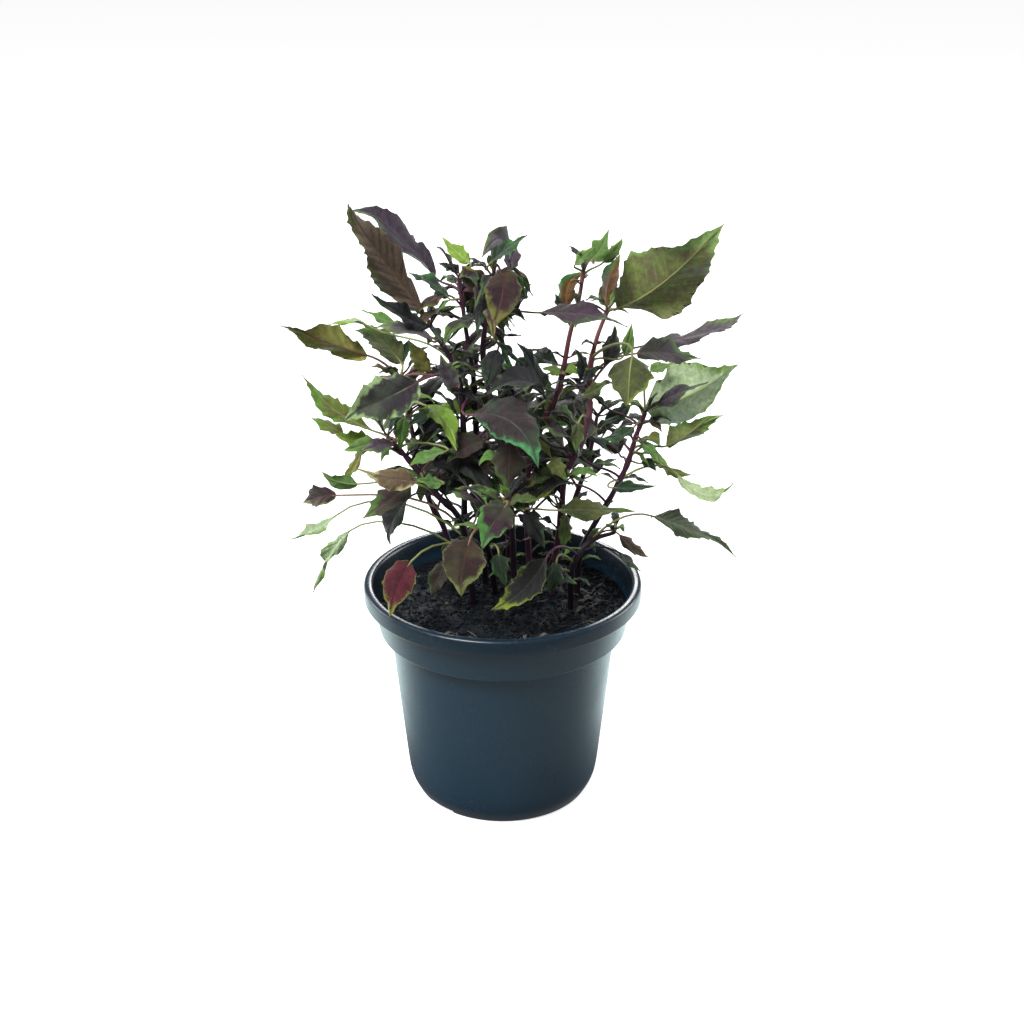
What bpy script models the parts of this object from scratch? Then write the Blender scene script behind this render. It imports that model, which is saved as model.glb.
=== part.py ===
"""Potted coleus: a round nursery pot, its soil, and the leafy stems that stand in it.

Metres, +Z up. The origin is the middle of the pot's underside, and +Y runs away from the viewer.
Leaf and stem places are given in millimetres as they show from the front, on the plant's middle
plane, each with its depth, and seen() turns them into places in space.
"""

import math
import random
from collections import namedtuple

import bmesh
import bpy
from mathutils import Vector
from mathutils.bvhtree import BVHTree

MM = 0.001
MERGE = 0.00001
CUT_PAST = 0.002

# Pot
POT_HEIGHT = 0.116
RIM_RADIUS = 0.070
RIM_INNER_RADIUS = 0.0655
LIP_HEIGHT = 0.0084
COLLAR_RADIUS = 0.0652
STEP_HEIGHT = 0.091
STEP_RADIUS = 0.062
WALL_TOP_RADIUS = 0.057
WALL_FOOT_RADIUS = 0.0496
WALL_FOOT_HEIGHT = 0.014
BASE_RADIUS = 0.0445
FOOT_WIDTH = 0.0045
FOOT_HEIGHT = 0.0024
HUB_RADIUS = 0.009
WALL = 0.0016
FLOOR_TOP = 0.0046
EDGE_ROLL = 0.0012
ROUND_STEPS = 28
FOOT_NOTCHES = 3
FIRST_NOTCH = math.radians(225)
FOOT_NOTCH_WIDTH = 0.017
FOOT_NOTCH_HEIGHT = 0.0022
DRAIN_COUNT = 6
DRAIN_RADIUS = 0.0042
DRAIN_RING = 0.027

# Soil
SOIL_TOP = 0.104
SOIL_GAP = 0.00035
SOIL_RELIEF = 0.0013
COARSE_LUMP = 0.033
FINE_LUMP = 0.010
SOIL_RINGS = 4
HOLE_RADIUS = 0.003
HOLE_DEPTH = 0.027
HOLE_SIDES = 6
HOLE_CLEARANCE = 0.0004

# Viewpoint that the front places are read from
EYE = Vector((0.0047, -0.723, 0.4588))
FACE_REFERENCE = Vector((0.35, 0.0, 1.0))

# Stems and leaves
STEM_RADIUS = 0.0019
STEM_TOP_RADIUS = 0.0011
STEM_STEPS = 2
STEM_RISE = 0.003
ROOT_DROP = 0.35
PETIOLE_RADIUS = 0.0006
PETIOLE_STEPS = 3
PETIOLE_ARCH = 0.3
PETIOLE_LEAD = 0.35
LONG_PETIOLE = 0.016
WIDE_BLADE = 0.016
BLADE_THICKNESS = 0.0007
BASE_ROUNDING = 0.95
TIP_DRAWING = 1.4
BLADE_FOLD = 0.22
BLADE_WAVE = 0.028
NOTCH = 0.12
TOOTH = 0.12
TOOTH_AT = 0.74
SMALL_BLADE = 13.5
TINY_BLADE = 6.2
CLEARANCE = 0.0003
SHIFTS = (0.0, -0.003, 0.003, -0.006, 0.006, -0.009, 0.009, -0.013, 0.013, -0.018, 0.018)

Leaf = namedtuple("Leaf", "stem root base mid tip width facing teeth")

# Each stem: its foot on the soil (x, y), then its route from the front (x, z, depth)
STEMS = {
    "stem_low_left": ((-15, -5), [(-20, 145, -12), (-33, 162, -17), (-46, 180, -15), (-56, 192, -12)]),
    "stem_high_left": (
        (-21, 8),
        [(-19, 150, 5), (-19, 200, 0), (-21, 222, -2), (-28, 238, -3), (-34, 248, -2)],
    ),
    "stem_centre_left": (
        (-9, 18),
        [(-10, 160, 14), (-13, 200, 12), (-14, 225, 10), (-17, 245, 8), (-20, 271, 6)],
    ),
    "stem_centre": (
        (6, -5),
        [(5, 140, -8), (3, 165, -8), (-3, 200, -7), (-9, 230, -6), (-7, 254, -8), (-4, 271, -8)],
    ),
    "stem_front": ((-4, 6), [(-6, 126, -4), (-9, 140, -20), (-5, 151, -32), (1, 157, -38)]),
    "stem_centre_right": (
        (14, 14),
        [(12, 165, 13), (17, 193, 11), (25, 210, 8), (29, 225, 8), (32, 243, 10), (36, 260, 12), (38, 274, 12)],
    ),
    "stem_high_right": (
        (25, 7),
        [(29, 150, 3), (31, 172, -2), (38, 187, -4), (42, 205, -3), (42, 226, 0), (45, 242, 2), (50, 256, 4)],
    ),
    "stem_right": (
        (38, 7),
        [(39, 130, 5), (46, 146, 3), (54, 161, 1), (61, 177, -1), (65, 192, -2), (69, 204, -3)],
    ),
    "stem_low_right": ((34, -11), [(35, 122, -16), (44, 136, -14), (56, 141, -10)]),
    "stem_left_back": (
        (-24, 24),
        [(-29, 143, 22), (-36, 158, 20), (-42, 185, 15), (-46, 207, 9), (-49, 222, 5)],
    ),
    "stem_back": ((3, 31), [(3, 160, 36), (6, 190, 46), (8, 212, 54)]),
    "stem_right_back": ((24, 27), [(33, 150, 32), (42, 180, 42), (46, 203, 50)]),
}

# Each leaf: stem, then base, middle and tip from the front (x, z, depth), width, turn.
# A turn of 0 shows the upper side square on, 90 turns it up, and 180 shows the underside.
LEAVES = [
    ("stem_high_left", (-35, 251, 2), (-58, 283, -14), (-72, 304, -32), 17, 25),
    ("stem_centre_left", (-31, 271, 14), (-50, 293, 24), (-66, 306, 38), 13, 35),
    ("stem_high_left", (-34, 247, -6), (-48, 253, -16), (-61, 265, -26), 10, 35),
    ("stem_centre_left", (-25, 261, 2), (-34, 269, 8), (-44, 273, 14), 8, 50),
    ("stem_left_back", (-64, 233, -2), (-84, 240, -12), (-104, 249, -24), 15, 150),
    ("stem_left_back", (-48, 229, 8), (-57, 240, 16), (-68, 248, 24), 13, 20),
    ("stem_high_left", (-50, 247, 6), (-57, 251, 7), (-66, 256, 8), 6, 40),
    ("stem_high_left", (-62, 247, 12), (-72, 250, 12), (-83, 248, 12), 4, 70),
    ("stem_high_left", (-33, 240, -10), (-46, 246, -15), (-61, 247, -19), 10, 58),
    ("stem_left_back", (-34, 225, -6), (-40, 232, -10), (-44, 241, -14), 9, 15),
    ("stem_high_left", (-22, 217, -14), (-26, 225, -18), (-29, 234, -22), 9, -20),
    ("stem_high_left", (-40, 220, -14), (-59, 210, -30), (-79, 203, -44), 22, 15),
    ("stem_low_left", (-63, 195, -14), (-84, 208, -12), (-93, 224, -6), 10, 30),
    ("stem_low_left", (-77, 193, 0), (-85, 198, 2), (-92, 202, 4), 8, 40),
    ("stem_low_left", (-64, 190, -2), (-73, 190, -4), (-82, 193, -6), 9, 30),
    ("stem_low_left", (-61, 189, -20), (-69, 187, -24), (-77, 183, -28), 8, 10),
    ("stem_low_left", (-53, 188, -26), (-61, 187, -32), (-69, 183, -36), 7, 20),
    ("stem_low_left", (-67, 187, 6), (-72, 177, 8), (-78, 164, 10), 6, 50),
    ("stem_low_left", (-83, 150, -8), (-94, 142, -18), (-106, 137, -28), 7, 50),
    ("stem_low_left", (-76, 142, 2), (-87, 128, 12), (-96, 107, 21), 7, 40),
    ("stem_low_left", (-45, 167, -24), (-56, 158, -32), (-70, 148, -38), 13, 25),
    ("stem_low_left", (-71, 167, -16), (-80, 168, -18), (-90, 172, -20), 8, 160),
    ("stem_low_left", (-82, 161, 0), (-91, 160, 6), (-99, 157, 12), 10, 10),
    ("stem_low_left", (-42, 168, -34), (-57, 170, -42), (-72, 173, -48), 12, 35),
    ("stem_low_left", (-47, 159, -12), (-55, 146, -16), (-57, 134, -20), 11, 40),
    ("stem_front", (-46, 125, -36), (-53, 112, -44), (-58, 93, -52), 16, 5),
    ("stem_front", (-16, 138, -36), (-20, 123, -43), (-22, 105, -48), 22, 0),
    ("stem_front", (2, 156, -46), (-4, 147, -52), (-12, 132, -56), 18, 10),
    ("stem_front", (-1, 158, -42), (-6, 161, -46), (-12, 163, -50), 7, 50),
    ("stem_front", (4, 157, -42), (10, 159, -46), (18, 158, -50), 8, 50),
    ("stem_front", (1, 160, -37), (1, 163, -36), (-2, 167, -36), 5, 20),
    ("stem_front", (4, 156, -47), (8, 156, -51), (12, 153, -55), 6, 30),
    ("stem_front", (-2, 130, -24), (-1, 121, -28), (2, 111, -30), 9, 10),
    ("stem_centre", (4, 188, -24), (3, 177, -30), (3, 162, -34), 16, 5),
    ("stem_centre_left", (-15, 203, -26), (6, 198, -40), (18, 175, -50), 21, 15),
    ("stem_centre_left", (-9, 206, -4), (-24, 206, -10), (-40, 209, -14), 9, 45),
    ("stem_low_right", (22, 127, -36), (11, 110, -42), (-6, 96, -46), 15, 15),
    ("stem_centre", (27, 153, -26), (46, 153, -31), (66, 152, -34), 11, 35),
    ("stem_low_right", (74, 150, 2), (95, 142, 14), (117, 133, 27), 10, 40),
    ("stem_low_right", (58, 140, -6), (66, 132, -8), (73, 127, -10), 6, 20),
    ("stem_low_right", (58, 130, -18), (64, 125, -21), (69, 119, -24), 6, 50),
    ("stem_right", (86, 172, -10), (101, 161, -20), (114, 167, -28), 8, 30),
    ("stem_right", (74, 186, 4), (81, 175, 2), (95, 172, 0), 6, 40),
    ("stem_right", (54, 165, -16), (65, 165, -18), (76, 166, -20), 6, 35),
    ("stem_right", (80, 187, -10), (91, 194, -22), (104, 206, -33), 13, 150),
    ("stem_right", (69, 206, -2), (92, 214, 8), (113, 230, 20), 30, 155),
    ("stem_high_right", (64, 234, 16), (79, 234, 22), (95, 230, 27), 13, 30),
    ("stem_high_right", (74, 239, 26), (96, 244, 36), (116, 252, 46), 10, 45),
    ("stem_high_right", (62, 233, -22), (61, 221, -28), (61, 207, -32), 21, 170),
    ("stem_high_right", (58, 233, -2), (60, 240, -2), (61, 249, -2), 6, 10),
    ("stem_high_right", (49, 228, 6), (52, 238, 8), (54, 248, 10), 9, 25),
    ("stem_high_right", (54, 256, 2), (77, 270, -12), (102, 297, -28), 37, 150),
    ("stem_high_right", (49, 257, 10), (50, 268, 12), (54, 283, 12), 16, 130),
    ("stem_centre_right", (31, 256, 16), (31, 267, 18), (38, 275, 18), 9, 20),
    ("stem_centre_right", (34, 277, 8), (38, 281, 7), (43, 286, 6), 6, 30),
    ("stem_centre_right", (41, 279, 14), (46, 285, 14), (49, 294, 14), 9, 20),
    ("stem_centre_right", (47, 278, 20), (52, 283, 20), (57, 289, 20), 6, 20),
    ("stem_centre", (17, 254, -16), (38, 253, -26), (61, 249, -34), 11, 50),
    ("stem_centre", (4, 277, -4), (-1, 289, -12), (-10, 280, -20), 12, 20),
    ("stem_centre", (-6, 277, -6), (3, 285, -14), (12, 290, -20), 7, 40),
    ("stem_centre_left", (-9, 264, -8), (-14, 271, -9), (-18, 277, -10), 12, -20),
    ("stem_centre", (0, 270, -16), (6, 268, -20), (11, 260, -23), 8, 20),
    ("stem_centre", (-1, 275, -16), (0, 262, -21), (-6, 246, -24), 17, 0),
    ("stem_centre", (3, 252, 4), (7, 260, 12), (14, 268, 20), 9, 40),
    ("stem_centre", (3, 265, 6), (3, 258, 4), (-2, 250, 2), 8, 10),
    ("stem_centre_left", (-21, 268, 12), (-15, 260, 14), (-14, 246, 14), 8, 10),
    ("stem_centre_left", (-15, 278, 2), (-21, 283, 8), (-28, 290, 14), 7, 10),
    ("stem_centre_left", (-20, 273, 6), (-24, 276, 8), (-30, 277, 10), 5, 30),
    ("stem_centre_right", (20, 213, -8), (15, 226, -12), (9, 242, -16), 12, 50),
    ("stem_centre_right", (21, 216, -14), (6, 220, -20), (-9, 213, -26), 12, 45),
    ("stem_centre", (-3, 240, -12), (2, 233, -15), (6, 222, -17), 4, 50),
    ("stem_centre", (-1, 239, 0), (6, 232, 2), (11, 222, 4), 4, 60),
    ("stem_centre", (-2, 236, -20), (-5, 227, -24), (-7, 216, -27), 11, 20),
    ("stem_centre", (0, 229, -6), (2, 225, -5), (2, 219, -4), 5, 20),
    ("stem_centre_right", (28, 224, 2), (24, 226, 0), (19, 227, -2), 6, 40),
    ("stem_centre_right", (30, 224, 2), (33, 226, 0), (37, 223, -2), 6, 40),
    ("stem_high_right", (37, 221, -6), (38, 229, -8), (35, 237, -10), 6, 30),
    ("stem_high_right", (39, 220, -3), (42, 224, -4), (46, 229, -5), 5, 30),
    ("stem_centre_right", (21, 222, 0), (22, 215, -3), (22, 207, -6), 5, 40),
    ("stem_centre_right", (16, 206, -12), (13, 198, -16), (14, 187, -18), 10, 10),
    ("stem_centre_right", (15, 195, -22), (20, 188, -26), (25, 180, -30), 6, 50),
    ("stem_centre_right", (21, 206, 2), (18, 199, 0), (17, 189, -2), 11, 20),
    ("stem_high_right", (37, 199, -16), (36, 192, -19), (36, 183, -21), 7, 20),
    ("stem_right", (62, 208, 8), (55, 202, 10), (47, 192, 12), 8, 40),
    ("stem_right", (64, 197, -12), (57, 192, -15), (48, 191, -18), 8, 50),
    ("stem_right", (70, 190, -10), (74, 192, -11), (77, 186, -12), 6, 30),
    ("stem_left_back", (-48, 206, 0), (-53, 201, -2), (-58, 194, -4), 8, 20),
    ("stem_left_back", (-47, 202, -6), (-49, 194, -9), (-50, 185, -12), 7, 10),
    ("stem_left_back", (-34, 205, 6), (-40, 201, 4), (-48, 196, 2), 8, 40),
    ("stem_low_left", (-30, 167, -30), (-36, 168, -33), (-43, 170, -36), 7, 30),
    ("stem_low_left", (-38, 167, -8), (-40, 163, -9), (-41, 157, -10), 6, 20),
    ("stem_low_left", (-28, 184, -24), (-37, 181, -28), (-46, 176, -32), 8, 40),
    ("stem_centre", (-3, 180, -16), (-7, 182, -18), (-12, 177, -20), 6, 40),
    ("stem_centre_left", (-9, 190, -6), (-18, 186, -12), (-28, 178, -18), 13, 30),
    ("stem_centre_left", (-12, 175, 2), (-20, 169, -4), (-29, 161, -10), 13, 30),
    ("stem_centre", (12, 150, -20), (16, 143, -24), (22, 132, -27), 10, 20),
    ("stem_high_right", (24, 179, -12), (27, 175, -16), (31, 168, -19), 8, 20),
    ("stem_high_right", (34, 172, -12), (40, 174, -14), (47, 171, -16), 6, 40),
    ("stem_high_right", (31, 151, -10), (31, 142, -12), (31, 130, -14), 7, 20),
    ("stem_low_right", (28, 118, -26), (32, 115, -29), (38, 113, -32), 6, 40),
    ("stem_low_right", (27, 125, -22), (26, 116, -25), (24, 107, -27), 9, 20),
    ("stem_front", (-28, 126, -20), (-33, 115, -26), (-37, 106, -30), 10, 20),
    ("stem_right", (74, 208, -14), (85, 214, -24), (99, 220, -32), 8, 40),
    ("stem_high_right", (39, 213, -8), (45, 216, -12), (50, 221, -15), 7, 20),
    ("stem_right", (68, 178, -4), (72, 178, -6), (76, 174, -8), 6, 20),
    ("stem_centre", (3, 275, 0), (5, 281, 2), (5, 288, 4), 8, 20),
    ("stem_right", (71, 225, 4), (75, 227, 6), (82, 229, 8), 6, 30),
]

# Leaves inside and behind, which the front view half hides: pairs on each stem, by rule
PAIR_SPACING = 0.007
FIRST_PAIR = 0.142
RULE_LENGTH = (0.022, 0.038)
RULE_WIDTH = (0.42, 0.54)
RULE_TEETH = 2
RULE_PETIOLE = (0.010, 0.022)
RULE_TURN = (-0.3, 0.3)
RULE_LIFT = (0.15, 0.8)
RULE_DROOP = (-0.1, 0.6)
RULE_ARCH = 0.16
RULE_CANT = 0.3
HIDDEN_MIDDLE = (0.004, 0.190)
HIDDEN_SPAN = (0.056, 0.044)
FRONT_LIMIT = -0.022
SEED = 24

COLOURS = {
    "pot": (0.014, 0.018, 0.022),
    "soil": (0.018, 0.014, 0.011),
    "leaf": (0.07, 0.045, 0.05),
}


def material(name, colour, roughness):
    made = bpy.data.materials.new(name)
    made.use_nodes = True
    shader = made.node_tree.nodes["Principled BSDF"]
    shader.inputs["Base Color"].default_value = (*colour, 1.0)
    shader.inputs["Roughness"].default_value = roughness
    return made


def collection(name):
    made = bpy.data.collections.new(name)
    bpy.context.scene.collection.children.link(made)
    return made


def mesh_object(name, points, faces, home):
    mesh = bpy.data.meshes.new(name)
    mesh.from_pydata(points, [], faces)
    made = bpy.data.objects.new(name, mesh)
    home.objects.link(made)
    return made


def baked(source, home):
    """A plain mesh object with what the source's curve or modifiers make, in place of the source."""
    graph = bpy.context.evaluated_depsgraph_get()
    mesh = bpy.data.meshes.new_from_object(source.evaluated_get(graph))
    name = source.name
    matrix = source.matrix_world.copy()
    bpy.data.objects.remove(source)
    made = bpy.data.objects.new(name, mesh)
    made.matrix_world = matrix
    home.objects.link(made)
    return made


def turned(name, profile, home):
    """A solid turned about Z from a profile of (radius, height), which starts and ends on the axis."""
    points = [(radius, 0.0, height) for radius, height in profile]
    edges = [(i, i + 1) for i in range(len(points) - 1)]
    mesh = bpy.data.meshes.new(name)
    mesh.from_pydata(points, edges, [])
    made = bpy.data.objects.new(name, mesh)
    home.objects.link(made)
    screw = made.modifiers.new("turn", "SCREW")
    screw.steps = ROUND_STEPS
    screw.render_steps = ROUND_STEPS
    screw.use_merge_vertices = True
    screw.merge_threshold = MERGE
    return made


def discard(tools):
    """Removes a collection of helpers with its objects."""
    for helper in list(tools.objects):
        bpy.data.objects.remove(helper)
    bpy.data.collections.remove(tools)


def upright_cylinder(name, x, y, low, high, radius, sides, home):
    mesh = bpy.data.meshes.new(name)
    shape = bmesh.new()
    bmesh.ops.create_cone(
        shape, cap_ends=True, segments=sides, radius1=radius, radius2=radius, depth=high - low
    )
    shape.to_mesh(mesh)
    shape.free()
    made = bpy.data.objects.new(name, mesh)
    made.location = (x, y, (low + high) / 2)
    home.objects.link(made)
    return made


def cut_by(made, tools, home):
    """The object with every cutter of the collection taken out of it."""
    for helper in tools.objects:
        helper.hide_render = True
        helper.display_type = "WIRE"
    boolean = made.modifiers.new("cuts", "BOOLEAN")
    boolean.operation = "DIFFERENCE"
    boolean.operand_type = "COLLECTION"
    boolean.collection = tools
    made = baked(made, home)
    discard(tools)
    return made


def inner_wall():
    """The pot's inside, from the floor up to the rim, as (radius, height)."""
    return [
        (BASE_RADIUS - WALL + EDGE_ROLL, FLOOR_TOP),
        (WALL_FOOT_RADIUS - WALL, WALL_FOOT_HEIGHT),
        (WALL_TOP_RADIUS - WALL, STEP_HEIGHT - EDGE_ROLL),
        (STEP_RADIUS - WALL, STEP_HEIGHT + EDGE_ROLL),
        (COLLAR_RADIUS - WALL, POT_HEIGHT - LIP_HEIGHT),
    ]


def pot_profile():
    lip_low = POT_HEIGHT - LIP_HEIGHT
    lip_middle = (RIM_RADIUS + RIM_INNER_RADIUS) / 2
    foot_inner = BASE_RADIUS - FOOT_WIDTH
    return [
        (0.0, FLOOR_TOP),
        *inner_wall(),
        (RIM_INNER_RADIUS, POT_HEIGHT - EDGE_ROLL),
        (lip_middle, POT_HEIGHT),
        (RIM_RADIUS - EDGE_ROLL / 2, POT_HEIGHT - EDGE_ROLL / 2),
        (RIM_RADIUS, POT_HEIGHT - 2 * EDGE_ROLL),
        (RIM_RADIUS, lip_low + EDGE_ROLL),
        (RIM_RADIUS - EDGE_ROLL, lip_low),
        (COLLAR_RADIUS, lip_low),
        (STEP_RADIUS, STEP_HEIGHT),
        (WALL_TOP_RADIUS, STEP_HEIGHT - 2 * EDGE_ROLL),
        (WALL_FOOT_RADIUS, WALL_FOOT_HEIGHT),
        (WALL_FOOT_RADIUS - EDGE_ROLL, WALL_FOOT_HEIGHT / 2),
        (BASE_RADIUS, 0.0),
        (foot_inner, 0.0),
        (foot_inner - EDGE_ROLL / 2, FOOT_HEIGHT),
        (HUB_RADIUS + EDGE_ROLL / 2, FOOT_HEIGHT),
        (HUB_RADIUS, 0.0),
        (0.0, 0.0),
    ]


def make_pot(home):
    pot = turned("pot", pot_profile(), home)
    tools = collection("pot_cutters")
    for i in range(FOOT_NOTCHES):
        angle = FIRST_NOTCH + 2 * math.pi * i / FOOT_NOTCHES
        mesh = bpy.data.meshes.new("notch")
        shape = bmesh.new()
        bmesh.ops.create_cube(shape, size=1.0)
        scale = Vector((4 * FOOT_WIDTH, FOOT_NOTCH_WIDTH, 2 * FOOT_NOTCH_HEIGHT))
        bmesh.ops.scale(shape, vec=scale, verts=shape.verts)
        shape.to_mesh(mesh)
        shape.free()
        notch = bpy.data.objects.new("notch", mesh)
        middle = BASE_RADIUS - FOOT_WIDTH / 2
        notch.location = (middle * math.cos(angle), middle * math.sin(angle), 0.0)
        notch.rotation_euler = (0.0, 0.0, angle)
        tools.objects.link(notch)
    for i in range(DRAIN_COUNT):
        angle = 2 * math.pi * i / DRAIN_COUNT
        x = DRAIN_RING * math.cos(angle)
        y = DRAIN_RING * math.sin(angle)
        upright_cylinder("drain", x, y, -CUT_PAST, FLOOR_TOP + CUT_PAST, DRAIN_RADIUS, HOLE_SIDES, tools)
    pot = cut_by(pot, tools, home)
    pot.data.materials.append(material("pot_plastic", COLOURS["pot"], 0.45))


def relief(x, y, edge):
    """Height of the lumpy soil above its mean level, fading out at the pot's wall."""
    coarse = math.sin(math.pi * x / COARSE_LUMP + 1.3) * math.cos(math.pi * y / COARSE_LUMP - 0.7)
    fine = math.sin(math.pi * (x - y) / FINE_LUMP) * math.cos(math.pi * (x + y) / FINE_LUMP)
    return SOIL_RELIEF * (0.6 * coarse + 0.4 * fine) * (1 - (math.hypot(x, y) / edge) ** 4)


def make_soil(home):
    (step_radius, step_height), (collar_radius, collar_height) = inner_wall()[-2:]
    rise = (SOIL_TOP - step_height) / (collar_height - step_height)
    edge = step_radius + rise * (collar_radius - step_radius) - SOIL_GAP
    top = [(edge * i / SOIL_RINGS, SOIL_TOP) for i in range(SOIL_RINGS + 1)]
    wall = [(radius - SOIL_GAP, height) for radius, height in reversed(inner_wall()[:-1])]
    wall[-1] = (wall[-1][0], FLOOR_TOP + SOIL_GAP)
    soil = turned("soil", top + wall + [(0.0, FLOOR_TOP + SOIL_GAP)], home)
    soil = baked(soil, home)
    for vertex in soil.data.vertices:
        if vertex.co.z > SOIL_TOP - SOIL_GAP:
            vertex.co.z += relief(vertex.co.x, vertex.co.y, edge)
    tools = collection("soil_cutters")
    for foot, _ in STEMS.values():
        low = SOIL_TOP - HOLE_DEPTH - HOLE_CLEARANCE
        x, y = foot[0] * MM, foot[1] * MM
        upright_cylinder("stem_hole", x, y, low, SOIL_TOP + CUT_PAST, HOLE_RADIUS, HOLE_SIDES, tools)
    soil = cut_by(soil, tools, home)
    soil.data.materials.append(material("potting_soil", COLOURS["soil"], 0.95))


def seen(place):
    """The point at this depth that shows at x, z on the middle plane, seen from EYE."""
    x, z, depth = place
    near = (depth * MM - EYE.y) / -EYE.y
    return Vector((EYE.x + (x * MM - EYE.x) * near, depth * MM, EYE.z + (z * MM - EYE.z) * near))


def smooth_route(points, steps):
    """Points of a smooth curve through all of these points, with steps to each stretch."""
    ends = [2 * points[0] - points[1], *points, 2 * points[-1] - points[-2]]
    route = []
    for a, b, c, d in zip(ends, ends[1:], ends[2:], ends[3:]):
        for i in range(steps):
            t = i / steps
            bend = 2 * a - 5 * b + 4 * c - d
            sweep = 3 * (b - c) + d - a
            route.append(b + 0.5 * t * ((c - a) + t * (bend + t * sweep)))
    return route + [points[-1]]


def stem_route(name):
    foot, route = STEMS[name]
    x, y = foot[0] * MM, foot[1] * MM
    bottom = Vector((x, y, SOIL_TOP - HOLE_DEPTH))
    top = Vector((x, y, SOIL_TOP + STEM_RISE))
    return [bottom] + smooth_route([top] + [seen(place) for place in route], STEM_STEPS)


def at_height(route, height):
    """The point of a stem's middle line at this height, or its top."""
    for low, high in zip(route[1:], route[2:]):
        if low.z <= height <= high.z:
            return low.lerp(high, (height - low.z) / (high.z - low.z))
    return route[-1] if height > route[-1].z else route[1]


def root_for(route, base):
    """Where a petiole leaves its stem: lower than the blade, more so the further out the blade is."""
    out = min(abs(base.x - p.x) + 0.5 * abs(base.y - p.y) for p in route[2:])
    return at_height(route, min(base.z - ROOT_DROP * out, route[-1].z - BLADE_THICKNESS))


def square_on(base, mid, tip, turn):
    """The way the upper side faces, from its turn away from the viewer about the leaf's length."""
    along = (tip - base).normalized()
    to_viewer = EYE - mid
    to_viewer = (to_viewer - along * to_viewer.dot(along)).normalized()
    across = along.cross(to_viewer)
    if across.dot(FACE_REFERENCE) < 0:
        across = -across
    return math.cos(turn) * to_viewer + math.sin(turn) * across


def front_leaf(stem, base, mid, tip, width, turn, routes):
    places = [seen(place) for place in (base, mid, tip)]
    root = root_for(routes[stem], places[0])
    near = (places[1].y - EYE.y) / -EYE.y
    teeth = 2 + (width > TINY_BLADE) + (width > SMALL_BLADE)
    return Leaf(stem, root, *places, width * MM * near, square_on(*places, math.radians(turn)), teeth)


def shifted(leaf, distance):
    """The same leaf moved along the line of sight, so that it shows in the same place."""
    base, mid, tip = (p + (p - EYE).normalized() * distance for p in (leaf.base, leaf.mid, leaf.tip))
    return leaf._replace(base=base, mid=mid, tip=tip)


def midrib(leaf, u):
    """The point and the direction of the midrib at u, from 0 at its base to 1 at its tip."""
    bend = 2 * leaf.mid - (leaf.base + leaf.tip) / 2
    point = (1 - u) ** 2 * leaf.base + 2 * u * (1 - u) * bend + u**2 * leaf.tip
    along = (1 - u) * (bend - leaf.base) + u * (leaf.tip - bend)
    return point, along.normalized()


def half_width(leaf, u):
    """An ovate outline, rounded at the base and drawn out to the tip."""
    widest = BASE_ROUNDING / (BASE_ROUNDING + TIP_DRAWING)
    return leaf.width / 2 * (u / widest) ** BASE_ROUNDING * ((1 - u) / (1 - widest)) ** TIP_DRAWING


def across_and_up(leaf, along):
    across = (leaf.tip - leaf.base).cross(leaf.facing)
    across = (across - along * across.dot(along)).normalized()
    return across, across.cross(along)


def blade(leaf, offset=0.0):
    """Points and triangles of the toothed and waved blade, moved off its middle surface by offset."""
    teeth = leaf.teeth
    length = (leaf.tip - leaf.base).length
    points = []
    for k in range(teeth + 1):
        point, along = midrib(leaf, k / teeth)
        points.append(point + across_and_up(leaf, along)[1] * offset)
    faces = []
    for side in (-1, 1):
        edge = []
        for k in range(teeth):
            for u, reach, lift in ((k / teeth, 1 - NOTCH, -1.0), ((k + TOOTH_AT) / teeth, 1 + TOOTH, 1.0)):
                point, along = midrib(leaf, u)
                across, up = across_and_up(leaf, along)
                out = max(half_width(leaf, u) * reach, petiole_radius(leaf))
                rise = BLADE_FOLD * out + BLADE_WAVE * length * lift * (1 - u) * (u > 0) + offset
                edge.append(len(points))
                points.append(point + side * out * across + rise * up)
        edge.append(teeth)
        for k in range(teeth):
            start, tooth, end = edge[2 * k : 2 * k + 3]
            found = [(k, start, tooth), (k, tooth, k + 1), (k + 1, tooth, end)]
            faces += [face[::side] for face in found if len(set(face)) == 3]
    return points, faces


def petiole_points(leaf, steps):
    """The petiole's middle line, arching from the stem to the blade."""
    start = leaf.root
    end, along = midrib(leaf, 0.0)
    reach = (end - start).length
    out = Vector((end.x - start.x, end.y - start.y, 0.0))
    leave = start + PETIOLE_ARCH * (out + Vector((0.0, 0.0, reach)))
    arrive = end - PETIOLE_LEAD * reach * along
    points = []
    for i in range(steps + 1):
        t = i / steps
        a, b = (1 - t) ** 3, 3 * t * (1 - t) ** 2
        c, d = 3 * t * t * (1 - t), t**3
        points.append(a * start + b * leave + c * arrive + d * end)
    return points


def petiole_radius(leaf):
    """Stouter under a wide blade."""
    return PETIOLE_RADIUS * (0.7 + 0.3 * min(leaf.width / WIDE_BLADE, 2.0))


def leaf_surface(leaf):
    """The blade with its petiole, a narrow strip that widens into it, as one open surface."""
    points, faces = blade(leaf)
    left = leaf.teeth + 1
    right = left + 2 * leaf.teeth
    row = (right, 0, left)
    steps = PETIOLE_STEPS if (leaf.base - leaf.root).length > LONG_PETIOLE else PETIOLE_STEPS - 1
    stalk = petiole_points(leaf, steps)
    for i in reversed(range(steps)):
        along = (stalk[i + 1] - stalk[i]).normalized()
        across = across_and_up(leaf, along)[0] * petiole_radius(leaf)
        first = len(points)
        points += [stalk[i] + across, stalk[i] - across]
        if len(row) == 3:
            faces += [(first, row[0], row[1]), (first, row[1], first + 1), (first + 1, row[1], row[2])]
        else:
            faces += [(first, row[0], row[1]), (first, row[1], first + 1)]
        row = (first, first + 1)
    return points, faces


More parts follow.
